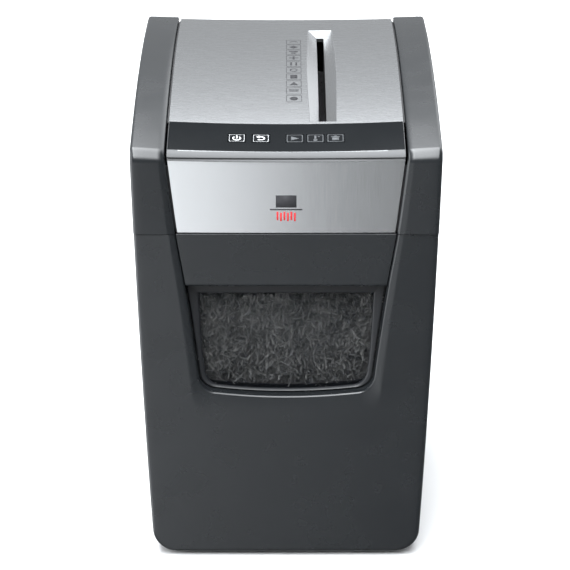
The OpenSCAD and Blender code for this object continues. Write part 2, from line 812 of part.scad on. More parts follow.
// Tray that closes the head from below, with the chute under the cutters and a mouth into the bin.
module head_base() {
    inner = half_at(seam_z) - wall - 0.05;
    color(dark) difference() {
        union() {
            translate([-inner, front_y + wall + 6, seam_z]) cube([2 * inner, body_d - 2 * wall - 10, 3]);
            translate([chute_x[0] - 2, chute_y[0] - 2, seam_z])
                cube([chute_x[1] - chute_x[0] + 4, chute_y[1] - chute_y[0] + 4, 9]);
        }
        translate([chute_x[0], chute_y[0], seam_z - 1])
            cube([chute_x[1] - chute_x[0], chute_y[1] - chute_y[0], 20]);
        for (x = screw_xs(front_plate_x)) translate([x, -foot_screw_y, seam_z - 1])
            cylinder(r = 2.05, h = 5, $fn = 32);
        for (x = screw_xs(rear_plate_x)) translate([x, foot_screw_y, seam_z - 1])
            cylinder(r = 2.05, h = 5, $fn = 32);
    }
}

// ---------- electrics ----------

module power_board() {
    color(board_green) {
        translate([-118, -104, plate_foot + 6]) cube([74, 78, 1.6]);
    }
    color(dark) for (x = [-112, -50], y = [-98, -32]) translate([x, y, plate_foot])
        cylinder(r = 3, h = 6.1, $fn = 32);
}

// Relay, film capacitor, choke, fuse holder, triac heat sink and terminals.
module power_components() {
    z = plate_foot + 7.6;
    color("#2f5fa8") translate([-112, -90, z]) cube([19, 15, 16]);
    color("#b58a3c") translate([-88, -92, z]) cube([12, 26, 18]);
    color(dark) {
        translate([-60, -80, z]) cylinder(r = 9, h = 14, $fn = 48);
        translate([-112, -66, z]) cube([8, 30, 9]);
        translate([-68, -52, z]) cube([20, 14, 10]);
    }
    color(steel) translate([-96, -58, z]) cube([3, 26, 20]);
}

// Infrared transmitter and receiver, one on each side of the paper channel.
module paper_sensor() {
    color(dark) for (s = [-1, 1]) {
        x = slot_x + s * (throat_w / 2 + 1.55);
        translate([min(x, x + s * 7), -6, shaft_z + 26]) cube([7, 12, 9]);
    }
}

switch_place = [-122, -132, 281];
plunger_r = 2.5;
plunger_out = 6;

// Switch under the head base that is held closed while the bin is home.
module safety_switch() {
    color(dark) difference() {
        union() {
            translate(switch_place) cube([20, 26, 18]);
            translate(switch_place + [-6, 6, 18]) cube([32, 14, 6]);
        }
        spindle(switch_place[0] + 10, switch_place[1] - 1, switch_place[2] + 9)
            cylinder(r = plunger_r + bush_clear, h = 14, $fn = 32);
    }
}

module safety_plunger() {
    color("#b3402e") spindle(switch_place[0] + 10, switch_place[1] - plunger_out, switch_place[2] + 9)
        cylinder(r = plunger_r, h = plunger_out + 9, $fn = 32);
}

rocker_depth = 18;
rocker_axis = 3.2;

// Snap-in housing of the mains switch, open at the back for the rocker.
module switch_housing() {
    x = rocker_place[0];
    z = rocker_place[1];
    color(dark) difference() {
        union() {
            translate([x - 7, back_y - wall - rocker_depth, z - 10.5]) cube([14, wall + rocker_depth - 1.2, 21]);
            translate([x - 8.5, back_y - 2.4 - wall, z - 12]) cube([17, 2.2, 24]);
        }
        translate([x - 5.2, back_y - wall - 9, z - 8.7]) cube([10.4, 20, 17.4]);
        translate([x, back_y - wall - rocker_axis, z]) rotate([0, 90, 0])
            cylinder(r = 1.2 + bush_clear, h = 13.6, center = true, $fn = 32);
    }
}

// Two-position rocker that turns on two trunnions in the housing's side walls.
module mains_rocker() {
    x = rocker_place[0];
    z = rocker_place[1];
    color("#8b1f1a") translate([x - 4.8, back_y - wall - rocker_axis, z]) rotate([0, 90, 0]) {
        linear_extrude(9.6) polygon([[-7.4, -1.4], [0, -4], [7.4, -1.4], [7.4, 0.6], [0, 2.2], [-7.2, 3.4]]);
        translate([0, 0, -1.7]) cylinder(r = 1.2, h = 13, $fn = 32);
    }
}

// Strain-relief gland with the bore for the supply cord.
module cord_gland() {
    color(dark) spindle(gland_place[0], 0, gland_place[1]) difference() {
        union() {
            translate([0, 0, back_y - wall - 9]) cylinder(r = 8, h = wall + 9, $fn = 48);
            translate([0, 0, back_y - wall - 3]) cylinder(r = 10, h = 3, $fn = 48);
        }
        translate([0, 0, back_y - 20]) cylinder(r = gland_bore_r, h = 30, $fn = 48);
    }
}

// ---------- cabinet ----------

cabinet_front = front_y + front_depth + moving_gap;
floor_half = 96;

module cabinet_wall(side) {
    color(charcoal) intersection() {
        along_y(cabinet_front, back_y) difference() {
            body_outline();
            body_outline(wall, seam_z + 10);
        }
        translate([side > 0 ? floor_half : -body_w, front_y, 0]) cube([body_w - floor_half, body_d, seam_z]);
    }
}

module cabinet_left_wall() {
    cabinet_wall(-1);
}

module cabinet_right_wall() {
    cabinet_wall(1);
}

module cabinet_back_wall() {
    color(charcoal) along_y(back_y - wall, back_y) body_outline(wall + 0.02, seam_z);
}

// Floor with two low ribs that the tub slides on.
module cabinet_floor() {
    color(charcoal) {
        translate([-floor_half, cabinet_front, floor_z])
            cube([2 * floor_half, back_y - cabinet_front, wall]);
        for (s = [-1, 1]) translate([s * 70 - 4, cabinet_front, floor_z + wall - 0.1])
            cube([8, body_d - front_depth - 20, tub_inset - wall - 0.3]);
    }
}

module feet() {
    color("#1b1b1b") for (sx = [-1, 1], y = [cabinet_front + 16, back_y - 20])
        translate([sx * 84, y, 0]) cylinder(r = 9, h = floor_z, $fn = 48);
}

// ---------- bin ----------

tub_inset = 6;
tub_t = 2;
tub_y = [front_y + front_depth, 150];

// Keystone-shaped recess: points of its right side, its corner arc and its sagging bottom arc.
recess_side = [[98, 315], [96.3, 300], [88.3, 254], [79, 187]];
recess_corner = [61.5, 174.5];
recess_corner_r = 16;
recess_bottom_z = 155;
recess_bottom_r = 540;

// The recess of the bin front, open towards the seam, grown outwards by a distance.
module keystone(grow = 0) {
    corner = recess_corner_r + grow;
    bottom = recess_bottom_r + grow;
    foot_x = recess_corner[0] + corner * cos(80);
    mirrored_outline(concat(
        [for (i = [4 : -1 : 1]) let (x = foot_x * (1 - i / 4))
            [x, recess_bottom_z + recess_bottom_r - sqrt(bottom * bottom - x * x)]],
        [for (a = [-80 : 10 : 0]) recess_corner + corner * [cos(a), sin(a)]],
        [for (i = [3 : -1 : 0]) recess_side[i] + [grow, 0]]));
}

front_top = seam_z - moving_gap;

// Moulded front of the bin: a shell with the keystone recess and a peg for the safety switch.
module bin_front() {
    y0 = front_y + 0.3;
    y1 = front_y + front_depth;
    color(charcoal) {
        along_y(y0, y0 + wall) difference() {
            body_outline(0.2, front_top);
            keystone();
        }
        along_y(y0 + wall, y1) difference() {
            body_outline(0.2, front_top);
            body_outline(0.2 + wall, front_top);
            keystone();
        }
        along_y(y0 + wall, y1 - 0.02) intersection() {
            difference() {
                keystone(2);
                keystone();
            }
            body_outline(0.2, front_top);
        }
        translate([switch_place[0] + 6, y0 + wall - 0.1, switch_place[2] + 5])
            cube([8, switch_place[1] - plunger_out - moving_gap - y0 - wall + 0.1, 8]);
        translate([switch_place[0] + 9, y0 + wall - 0.1, switch_place[2] - 2]) cube([2, 18, 10]);
    }
}

// Flush panel of the recess; fingers reach under its lower edge to pull the bin out.
module grip_panel() {
    y = front_y + band_drop;
    z = grip_z;
    color(charcoal) {
        along_y(y, y + wall) intersection() {
            keystone(-0.1);
            translate([-body_w, z]) square([2 * body_w, front_top - z]);
        }
        along_y(y + wall - 0.1, y + wall + 3) intersection() {
            keystone(-0.1);
            translate([-body_w, front_top - 3]) square([2 * body_w, 3]);
        }
    }
}

window_top = 264;
window_y = front_y + 19;

// Leans a child back about the window's top edge.
module leaned() {
    translate([0, window_y, window_top]) rotate([-window_lean, 0, 0]) translate([0, -window_y, -window_top])
        children();
}

module window_shape(grow) {
    intersection() {
        keystone(grow);
        translate([-body_w, 0]) square([2 * body_w, window_top]);
    }
}

// Dark frame that holds the window; its outer edge fills the recess.
module window_frame() {
    color(dark) intersection() {
        leaned() along_y(window_y, window_y + 2) difference() {
            window_shape(-1.2);
            offset(delta = -7) window_shape(-1);
        }
        along_y(front_y, front_y + front_depth) keystone(-0.4);
    }
}

module bin_window() {
    color("#34383a", 0.5) leaned() along_y(window_y + 2.05, window_y + 4.05)
        offset(delta = -4) window_shape(-1);
}

// Open tub behind the bin front, with a window in its front wall.
module bin_tub() {
    color(dark) {
        along_y(tub_y[0] + tub_t, tub_y[1] - tub_t) difference() {
            body_outline(tub_inset, tub_top);
            body_outline(tub_inset + tub_t, tub_top + 10);
        }
        along_y(tub_y[1] - tub_t - 0.01, tub_y[1]) body_outline(tub_inset, tub_top);
        along_y(tub_y[0] + 0.02, tub_y[0] + tub_t + 0.02) difference() {
            body_outline(tub_inset, tub_top);
            offset(delta = -1) window_shape(-1);
        }
    }
}

// Heap of shredded paper: a solid with the heap's outer shape.
module shredded_paper() {
    inset = tub_inset + tub_t + 0.4;
    color("white") along_y(tub_y[0] + tub_t + 0.5, tub_y[1] - tub_t - 0.5)
        intersection() {
            body_outline(inset, tub_top);
            translate([0, heap_top - 260]) circle(r = 260, $fn = 96);
        }
}

left_cover();
right_cover();
rear_cover();
top_panel();
top_frame();
front_band();
front_frame();
control_strip();
power_button();
reverse_button();
indicator_lenses();
head_base();
front_side_plate();
rear_side_plate();
tie_rods();
rod_nuts();
plate_screws();
front_bushes();
rear_bushes();
cutter_left();
cutter_right();
sync_gear_left();
sync_gear_right();
stripper_comb_left();
stripper_comb_right();
throat_guide_left();
throat_guide_right();
main_gear();
idler_gear_near();
idler_gear_far();
idler_pins();
gear_end_plate();
motor_pinion();
motor_rotor();
motor_fan();
motor_stator();
motor_bracket();
motor_bolts();
brush_holders();
control_board();
board_components();
power_board();
power_components();
paper_sensor();
safety_switch();
safety_plunger();
switch_housing();
mains_rocker();
cord_gland();
cabinet_left_wall();
cabinet_right_wall();
cabinet_back_wall();
cabinet_floor();
feet();
bin_tub();
bin_front();
grip_panel();
bin_window();
window_frame();
shredded_paper();
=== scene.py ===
import math
import random

import bmesh
import bpy
from mathutils import Matrix, Vector


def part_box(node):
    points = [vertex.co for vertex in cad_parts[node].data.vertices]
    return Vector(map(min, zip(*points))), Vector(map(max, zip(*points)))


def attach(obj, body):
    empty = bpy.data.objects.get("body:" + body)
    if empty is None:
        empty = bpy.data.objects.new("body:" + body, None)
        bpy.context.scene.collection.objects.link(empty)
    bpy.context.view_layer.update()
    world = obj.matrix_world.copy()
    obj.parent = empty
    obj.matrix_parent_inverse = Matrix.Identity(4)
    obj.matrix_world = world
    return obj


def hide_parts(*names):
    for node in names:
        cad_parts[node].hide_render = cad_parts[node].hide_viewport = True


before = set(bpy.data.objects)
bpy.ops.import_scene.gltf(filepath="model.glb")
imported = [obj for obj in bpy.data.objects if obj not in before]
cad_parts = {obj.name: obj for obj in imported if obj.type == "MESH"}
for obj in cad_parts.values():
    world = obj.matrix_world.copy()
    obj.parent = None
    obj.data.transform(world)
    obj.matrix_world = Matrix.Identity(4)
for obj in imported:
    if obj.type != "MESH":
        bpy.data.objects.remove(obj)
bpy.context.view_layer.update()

# ---------- driving places, from the frame, in metres ----------

COVER_LOW, COVER_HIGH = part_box("right_cover")
PANEL_LOW, PANEL_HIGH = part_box("top_panel")
BAND_LOW, BAND_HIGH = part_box("front_band")
BIN_LOW, BIN_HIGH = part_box("bin_front")
GRIP_LOW, GRIP_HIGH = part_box("grip_panel")
HEAP_LOW, HEAP_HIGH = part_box("shredded_paper")
FRONT = COVER_LOW.y
BACK = COVER_HIGH.y
HALF = COVER_HIGH.x
CREST = COVER_HIGH.z
SEAM = COVER_LOW.z
SHOULDER = PANEL_LOW.z
PANEL_HALF = PANEL_HIGH.x
SLOT_X = (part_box("cutter_left")[0].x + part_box("cutter_right")[1].x) / 2

# The head in side view is one large arc, rounded at the front bend and at the back.
DOME_R = 1.070
BEND_R = 0.013
BACK_R = 0.004
CREST_Y = BACK - 0.030
ARC_Z = CREST - DOME_R
PANEL_DROP = 0.003
SHADOW_GAP = 0.002
WALL = 0.0025
CORNER_R = 0.022
TAPER_A = 0.0258
TAPER_B = 0.0435

# ---------- camera and light ----------

PITCH = 18.5
LENS = 157.9
CAMERA_BACK = 2.0713
CAMERA_RISE = 0.5789
CAMERA_SIDE = -0.001
AMBIENT = 0.12


def make_camera():
    data = bpy.data.cameras.new("camera")
    data.lens = LENS
    data.sensor_width = 36
    data.clip_end = 100
    camera = bpy.data.objects.new("camera", data)
    camera.location = (CAMERA_SIDE, FRONT - CAMERA_BACK, SHOULDER + CAMERA_RISE)
    camera.rotation_euler = (math.radians(90 - PITCH), 0, 0)
    bpy.context.scene.collection.objects.link(camera)
    bpy.context.scene.camera = camera


def remapped(owner, value, start, end, low, high, curve="LINEAR"):
    """Changes from low to high while the value goes from start to end, in the owner's nodes."""
    node = owner.nodes.new("ShaderNodeMapRange")
    node.interpolation_type = curve
    for socket, number in zip(("From Min", "From Max", "To Min", "To Max"), (start, end, low, high)):
        node.inputs[socket].default_value = number
    owner.links.new(value, node.inputs["Value"])
    return node.outputs["Result"]


class Studio:
    """Soft studio light all round the object: a sum of soft-edged light fields, each given by direction."""

    def __init__(self, name):
        self.world = bpy.data.worlds.new(name)
        self.world.use_nodes = True
        self.nodes = self.world.node_tree.nodes
        self.links = self.world.node_tree.links
        self.way = self.nodes.new("ShaderNodeTexCoord").outputs["Generated"]
        split = self.nodes.new("ShaderNodeSeparateXYZ")
        self.links.new(self.way, split.inputs[0])
        self.axis = {"x": split.outputs[0], "y": split.outputs[1], "z": split.outputs[2]}
        self.total = None

    def join(self, operation, a, b):
        node = self.nodes.new("ShaderNodeMath")
        node.operation = operation
        for socket, value in zip(node.inputs, (a, b)):
            if isinstance(value, (int, float)):
                socket.default_value = value
            else:
                self.links.new(value, socket)
        return node.outputs[0]

    def ramp(self, value, start, end, low=0.0, high=1.0):
        """Smooth change from low to high while the value goes from start to end."""
        return remapped(self, value, start, end, low, high, "SMOOTHSTEP")

    def spot(self, centre, inner, outer):
        """1 within inner degrees of a direction, 0 beyond outer degrees."""
        node = self.nodes.new("ShaderNodeVectorMath")
        node.operation = "DOT_PRODUCT"
        node.inputs[1].default_value = Vector(centre).normalized()
        self.links.new(self.way, node.inputs[0])
        return self.ramp(node.outputs["Value"], math.cos(math.radians(outer)), math.cos(math.radians(inner)))

    def add(self, strength, *fields):
        """Adds a light field: a strength times all the given soft masks."""
        value = fields[0]
        for field in fields[1:]:
            value = self.join("MULTIPLY", value, field)
        value = self.join("MULTIPLY", value, strength)
        self.total = value if self.total is None else self.join("ADD", self.total, value)

    def finish(self, ambient):
        background = self.nodes["Background"]
        background.inputs["Color"].default_value = (0.95, 0.975, 1.0, 1)
        self.links.new(self.join("ADD", self.total, ambient), background.inputs["Strength"])
        return self.world


def make_light():
    scene = bpy.context.scene
    scene.view_settings.view_transform = "Standard"
    studio = Studio("studio")
    across = studio.join("ABSOLUTE", studio.axis["x"], 0.0)
    # A long soft box overhead, along the object's depth, weaker on the right.
    studio.add(12.0, studio.ramp(across, 0.42, 0.20), studio.ramp(studio.axis["x"], -0.3, 0.3, 1.5, 0.4),
               studio.spot((0, -0.21, 0.98), 33, 60))
    # A tall soft box on the left.
    studio.add(4.0, studio.spot((-1, 0, 0.1), 25, 45))
    # A reflector low in front, bright on its left and dark on its right.
    low_front = (studio.ramp(studio.axis["y"], -0.3, -0.7), studio.ramp(studio.axis["z"], -0.05, -0.28))
    studio.add(1.0, studio.ramp(studio.axis["x"], -0.12, 0.07, 1.5, 0.0), *low_front,
               studio.ramp(studio.axis["z"], -0.34, -0.62, 1.0, 0.6))
    # The wall behind, brighter higher up, and a soft box behind on the right.
    studio.add(1.0, studio.ramp(studio.axis["z"], 0.2, 0.8, 0.4, 0.9),
               studio.ramp(studio.axis["y"], 0.0, 0.3))
    studio.add(2.0, studio.spot((0.55, 0.65, 0.52), 15, 30))
    scene.world = studio.finish(AMBIENT)


def make_floor():
    mesh = bpy.data.meshes.new("floor")
    far = 20
    corners = [(-far, -far, 0), (far, -far, 0), (far, far, 0), (-far, far, 0)]
    mesh.from_pydata(corners, [], [(0, 1, 2, 3)])
    floor = bpy.data.objects.new("floor", mesh)
    bpy.context.scene.collection.objects.link(floor)
    floor.data.materials.append(floor_paint())
    floor.visible_glossy = False


# ---------- materials ----------


class Paint:
    """A procedural material: a Principled shader with textures made from the object's own coordinates."""

    def __init__(self, name, colour, roughness, metallic=0.0, specular=0.5, coat=0.0):
        self.material = bpy.data.materials.new(name)
        self.material.use_nodes = True
        self.nodes = self.material.node_tree.nodes
        self.links = self.material.node_tree.links
        self.shader = self.nodes["Principled BSDF"]
        self.colour = (*colour, 1)
        self.set("Base Color", self.colour)
        self.set("Roughness", roughness)
        self.set("Metallic", metallic)
        self.set("Specular IOR Level", specular)
        self.set("Coat Weight", coat)
        self.set("Coat Roughness", 0.08)
        self.place = self.nodes.new("ShaderNodeTexCoord").outputs["Object"]

    def set(self, socket, value):
        self.shader.inputs[socket].default_value = value

    def stretched(self, scale):
        """Object coordinates scaled along each axis."""
        node = self.nodes.new("ShaderNodeMapping")
        node.inputs["Scale"].default_value = scale
        self.links.new(self.place, node.inputs["Vector"])
        return node.outputs["Vector"]

    def noise(self, scale, detail=2, stretch=(1, 1, 1), rough=0.5):
        node = self.nodes.new("ShaderNodeTexNoise")
        node.inputs["Scale"].default_value = scale
        node.inputs["Detail"].default_value = detail
        node.inputs["Roughness"].default_value = rough
        self.links.new(self.stretched(stretch), node.inputs["Vector"])
        return node.outputs["Fac"]

    def ranged(self, value, low, high):
        """Spreads the middle of a texture's range, where most of its values lie."""
        return remapped(self, value, 0.3, 0.7, low, high)

    def vary_colour(self, value, dark, light):
        """Mixes two shades of the colour by a texture value."""
        mix = self.nodes.new("ShaderNodeMix")
        mix.data_type = "RGBA"
        mix.inputs["A"].default_value = tuple(c * dark for c in self.colour[:3]) + (1,)
        mix.inputs["B"].default_value = tuple(min(1, c * light) for c in self.colour[:3]) + (1,)
        self.links.new(self.ranged(value, 0, 1), mix.inputs["Factor"])
        self.links.new(mix.outputs["Result"], self.shader.inputs["Base Color"])
        return self

    def vary_roughness(self, value, low, high):
        self.links.new(self.ranged(value, low, high), self.shader.inputs["Roughness"])
        return self

    def bump(self, value, depth, strength=1.0):
        """Bump of a depth in metres."""
        node = self.nodes.new("ShaderNodeBump")
        node.inputs["Distance"].default_value = depth
        node.inputs["Strength"].default_value = strength
        self.links.new(value, node.inputs["Height"])
        normal = self.shader.inputs["Normal"]
        if normal.is_linked:
            self.links.new(normal.links[0].from_socket, node.inputs["Normal"])
        self.links.new(node.outputs["Normal"], normal)
        return self


def floor_paint():
    paint = Paint("floor_white", (0.6, 0.6, 0.6), 0.7, specular=0.2)
    paint.vary_roughness(paint.noise(6), 0.65, 0.75)
    return paint.material


def moulded_plastic(name, colour, roughness, grain=0.00002, coat=0.0, specular=0.5):
    """Injection-moulded plastic: fine spark-eroded grain, faint flow marks and uneven sheen."""
    paint = Paint(name, colour, roughness, specular=specular, coat=coat)
    paint.vary_colour(paint.noise(9, 3, rough=0.6), 0.94, 1.06)
    paint.vary_roughness(paint.noise(34, 4), roughness - 0.03, roughness + 0.03)
    paint.bump(paint.noise(2600, 2), grain, 0.5)
    paint.bump(paint.noise(28, 1), 0.00006, 0.25)
    return paint.material


def brushed_silver(name, colour, roughness, along, metallic=0.88):
    """Silver foil with a hairline brush running along one axis."""
    stretch = tuple(0.02 if axis == along else 1.0 for axis in "xyz")
    paint = Paint(name, colour, roughness, metallic=metallic)
    lines = paint.noise(2300, 3, stretch, 0.6)
    paint.vary_colour(lines, 0.975, 1.025)
    paint.vary_roughness(lines, roughness - 0.02, roughness + 0.03)
    paint.bump(lines, 0.000003, 0.3)
    return paint.material


def machined_metal(name, colour, roughness, scale=900):
    """Turned or stamped metal with tool marks and a few stains."""
    paint = Paint(name, colour, roughness, metallic=1.0)
    marks = paint.noise(scale, 3, (1, 0.05, 1), 0.6)
    paint.vary_colour(paint.noise(60, 4), 0.82, 1.05)
    paint.vary_roughness(marks, roughness - 0.08, roughness + 0.12)
    paint.bump(marks, 0.00002, 0.4)
    return paint.material


def circuit_laminate(name, colour):
    """Solder-masked board with faint tracks under the mask."""
    paint = Paint(name, colour, 0.35, coat=0.4)
    tracks = paint.nodes.new("ShaderNodeTexBrick")
    tracks.inputs["Scale"].default_value = 160
    for socket, grey in (("Color1", 0), ("Color2", 0.5), ("Mortar", 1)):
        tracks.inputs[socket].default_value = (grey, grey, grey, 1)
    paint.links.new(paint.place, tracks.inputs["Vector"])
    paint.vary_colour(tracks.outputs["Color"], 0.8, 1.5)
    paint.bump(tracks.outputs["Color"], 0.00003, 0.4)
    return paint.material


def smoked_pane(name):
    """Smoked clear plastic: it lets part of the light straight through, and mirrors nothing."""
    paint = Paint(name, (0.006, 0.007, 0.009), 0.2, specular=0.0)
    paint.set("Alpha", 0.36)
    paint.vary_roughness(paint.noise(22, 3), 0.16, 0.24)
    return paint.material


def cut_paper(name):
    """Office paper with its white darkened to grey as painted shade for the inside of the bin; the mottle on
    it stands for fibre and print.
    """
    paint = Paint(name, (0.42, 0.42, 0.41), 0.85, specular=0.1)
    paint.vary_colour(paint.noise(45, 4), 0.62, 1.12)
    paint.bump(paint.noise(900, 3), 0.00003, 0.4)
    return paint.material


def ink(name, colour, roughness=0.5):
    """Screen-printed ink, slightly uneven in cover."""
    paint = Paint(name, colour, roughness, specular=0.1)
    paint.vary_colour(paint.noise(700, 2), 0.9, 1.05)
    return paint.material


def make_paints():
    return {
        "charcoal": moulded_plastic("charcoal_moulding", (0.0110, 0.0125, 0.0140), 0.26),
        "textured": moulded_plastic("charcoal_textured", (0.0110, 0.0125, 0.0140), 0.45, 0.00006),
        "dark": moulded_plastic("dark_moulding", (0.009, 0.010, 0.012), 0.42),
        "pit": moulded_plastic("black_inner_moulding", (0.006, 0.006, 0.007), 0.6),
        "gloss": moulded_plastic("gloss_strip_plastic", (0.004, 0.005, 0.006), 0.16, 0.000004,
                                 specular=0.04),
        "key": moulded_plastic("key_plastic", (0.004, 0.005, 0.006), 0.2, 0.000004, specular=0.04),
        "silver": brushed_silver("brushed_silver_panel", (0.252, 0.257, 0.262), 0.26, "x"),
        # The lip paint is a satin silver. It is made darker and rougher than the panel's silver as painted
        # shade, which dims the front lip, side rims, rolled band top and rounded silver edges.
        "lip": brushed_silver("lip_silver_painted_shade", (0.085, 0.087, 0.09), 0.6, "x", 0.1),
        "band": brushed_silver("brushed_silver_band", (0.60, 0.61, 0.62), 0.16, "z"),
        "steel": machined_metal("bright_steel", (0.55, 0.56, 0.57), 0.32),
        "cutter": machined_metal("hardened_cutter_steel", (0.36, 0.36, 0.37), 0.38, 1500),
        "bronze": machined_metal("bearing_bronze", (0.62, 0.40, 0.18), 0.34),
        "nylon": moulded_plastic("white_nylon", (0.70, 0.68, 0.60), 0.42),
        "lamination": machined_metal("motor_laminations", (0.2, 0.2, 0.21), 0.5),
        "board": circuit_laminate("green_circuit_board", (0.012, 0.10, 0.04)),
        "component": moulded_plastic("component_resin", (0.05, 0.05, 0.055), 0.4),
        "red": moulded_plastic("red_rocker_plastic", (0.33, 0.022, 0.018), 0.3),
        "rubber": moulded_plastic("rubber_foot_compound", (0.012, 0.012, 0.012), 0.8, 0.00008),
        "pane": smoked_pane("smoked_window_plastic"),
        # Paper darkened to grey: painted shade for the inside of the bin.
        "paper": cut_paper("office_paper_painted_shade"),
        "white_ink": ink("white_print", (0.75, 0.76, 0.77)),
        "grey_ink": ink("grey_print", (0.10, 0.105, 0.11)),
        "dark_ink": ink("dark_print", (0.035, 0.035, 0.038)),
        "accent_ink": ink("red_print", (0.52, 0.03, 0.035)),
    }


# ---------- mesh tools ----------


class Skin:
    """A mesh under construction: grids and faces whose shared points are merged."""

    def __init__(self):
        self.bm = bmesh.new()

    def face(self, points):
        distinct = [p for i, p in enumerate(points) if (p - points[i - 1]).length > 1e-6]
        if len(distinct) > 2:
            self.bm.faces.new([self.bm.verts.new(p) for p in distinct])

    def grid(self, rows, skip=None):
        """Quads between rows of points; skip(i, j) leaves a hole."""
        for i in range(len(rows) - 1):
            for j in range(len(rows[i]) - 1):
                if skip is None or not skip(i, j):
                    self.face([rows[i][j], rows[i][j + 1], rows[i + 1][j + 1], rows[i + 1][j]])

    def tube(self, loops):
        """Quads between closed loops of the same number of points."""
        for a, b in zip(loops, loops[1:]):
            for k in range(len(a)):
                self.face([a[k - 1], a[k], b[k], b[k - 1]])

    def prism(self, outline, place, depth):
        """A closed plate: an outline (u, v) put in space by place(u, v, w), from w = 0 to depth."""
        low = [place(u, v, 0) for u, v in outline]
        high = [place(u, v, depth) for u, v in outline]
        self.face(high)
        self.face(low[::-1])
        self.tube([low, high])

    def ring(self, outer, inner, place, depth):
        """A closed flat ring between two outlines of the same number of points."""
        n = len(outer)
        low_out, high_out = ([place(u, v, w) for u, v in outer] for w in (0, depth))
        low_in, high_in = ([place(u, v, w) for u, v in inner] for w in (0, depth))
        for i in range(n):
            self.face([high_out[i - 1], high_out[i], high_in[i], high_in[i - 1]])
            self.face([low_out[i], low_out[i - 1], low_in[i - 1], low_in[i]])
            self.face([low_out[i - 1], low_out[i], high_out[i], high_out[i - 1]])
            self.face([low_in[i], low_in[i - 1], high_in[i - 1], high_in[i]])

    def build(self, name, paint, inside=None):
        """The finished object. inside is a point on the inner side of an open skin."""
        bm = self.bm
        bmesh.ops.remove_doubles(bm, verts=bm.verts, dist=4e-6)
        bmesh.ops.recalc_face_normals(bm, faces=bm.faces)
        if inside is not None:
            inner = Vector(inside)
            flux = sum(f.normal.dot(f.calc_center_median() - inner) * f.calc_area() for f in bm.faces)
            if flux < 0:
                bmesh.ops.reverse_faces(bm, faces=bm.faces)
        for face in bm.faces:
            face.smooth = True
        return self.emit(name, paint)

    def emit(self, name, paint):
        """An object from the mesh as it is."""
        mesh = bpy.data.meshes.new(name)
        self.bm.to_mesh(mesh)
        self.bm.free()
        mesh.materials.append(paint)
        piece = bpy.data.objects.new(name, mesh)
        bpy.context.scene.collection.objects.link(piece)
        return piece


def thicken(piece, thickness):
    modifier = piece.modifiers.new("thickness", "SOLIDIFY")
    modifier.thickness = thickness
    modifier.offset = -1
    modifier.use_even_offset = True
    modifier.use_quality_normals = True
    return piece


def soften(piece, width, angle=50, segments=2):
    """Rounds the edges sharper than an angle and evens the shading of the large faces."""
    modifier = piece.modifiers.new("edge_round", "BEVEL")
    modifier.width = width
    modifier.segments = segments
    modifier.limit_method = "ANGLE"
    modifier.angle_limit = math.radians(angle)
    modifier.use_clamp_overlap = True
    modifier.harden_normals = False
    even = piece.modifiers.new("even_shading", "WEIGHTED_NORMAL")
    even.keep_sharp = True
    even.weight = 60
    return piece


def stand(piece, body, slot, *nodes):
    """The piece rides on a body and stands for CAD nodes, which it hides; slot is not used."""
    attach(piece, body)
    if nodes:
        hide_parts(*nodes)
    return piece


def spread(low, high, steps):
    return [low + (high - low) * i / steps for i in range(steps + 1)]


def smooth(t):
    t = max(0.0, min(1.0, t))
    return t * t * (3 - 2 * t)


def through(points, t):
    """Value at t of a smooth curve through (t, value) points in rising order of t."""
    points = sorted(points)
    if t <= points[0][0]:
        return points[0][1]
    for k in range(len(points) - 1):
        (t0, v0), (t1, v1) = points[k], points[k + 1]
        if t <= t1:
            before = points[max(k - 1, 0)]
            after = points[min(k + 2, len(points) - 1)]
            slope0 = (v1 - before[1]) / (t1 - before[0])
            slope1 = (after[1] - v0) / (after[0] - t0)
            u, h = (t - t0) / (t1 - t0), t1 - t0
            return ((2 * u**3 - 3 * u**2 + 1) * v0 + (u**3 - 2 * u**2 + u) * h * slope0
                    + (3 * u**2 - 2 * u**3) * v1 + (u**3 - u**2) * h * slope1)
    return points[-1][1]


# ---------- the head's outside ----------

BEND_Y = FRONT + BEND_R
BEND_Z = ARC_Z + math.sqrt((DOME_R - BEND_R) ** 2 - (BEND_Y - CREST_Y) ** 2)
BEND_LEAN = math.asin((CREST_Y - BEND_Y) / (DOME_R - BEND_R))
REAR_Y = BACK - BACK_R
REAR_Z = ARC_Z + math.sqrt((DOME_R - BACK_R) ** 2 - (REAR_Y - CREST_Y) ** 2)
REAR_LEAN = math.asin((CREST_Y - REAR_Y) / (DOME_R - BACK_R))


def half_at(z):
    """Half the body's width at a height: it tapers towards the floor, and faster lower down."""
    below = max(0.0, SHOULDER - z)
    return HALF - TAPER_A * below - TAPER_B * below * below


class Station:
    """A place on the head's outside in side view: a point and the way out of the surface."""

    def __init__(self, y, z, turn):
        self.y, self.z, self.turn = y, z, turn
        self.out_y, self.out_z = -math.sin(turn), math.cos(turn)

    def at(self, x, sink=0.0):
        """The point at x, sunk below the surface."""
        return Vector((x, self.y - self.out_y * sink, self.z - self.out_z * sink))


def dome_station(y):
    turn = math.asin((CREST_Y - y) / DOME_R)
    return Station(y, ARC_Z + DOME_R * math.cos(turn), turn)


def bend_station(turn):
    return Station(BEND_Y - BEND_R * math.sin(turn), BEND_Z + BEND_R * math.cos(turn), turn)


def rear_station(turn):
    return Station(REAR_Y - BACK_R * math.sin(turn), REAR_Z + BACK_R * math.cos(turn), turn)


# Half width of the wide recess in the front, from the head's shoulder down to the bin's window:
# (height below the shoulder, half width).
RECESS_SIDE = [(-0.002, 0.1050), (0.000, 0.1049), (0.034, 0.1010), (0.068, 0.0967), (0.119, 0.0883),
               (0.186, 0.0790), (0.199, 0.0775)]


def recess_half(z):
    return through(RECESS_SIDE, SHOULDER - z)


def arm_inner(z):
    return PANEL_HALF + SHADOW_GAP if z >= SHOULDER else recess_half(z)


# ---------- arms and side covers ----------

ARM_CHAMFER = 0.0018
ARM_RISE = 0.0018
LEG_CHAMFER = 0.0022
FLANGE = 0.006


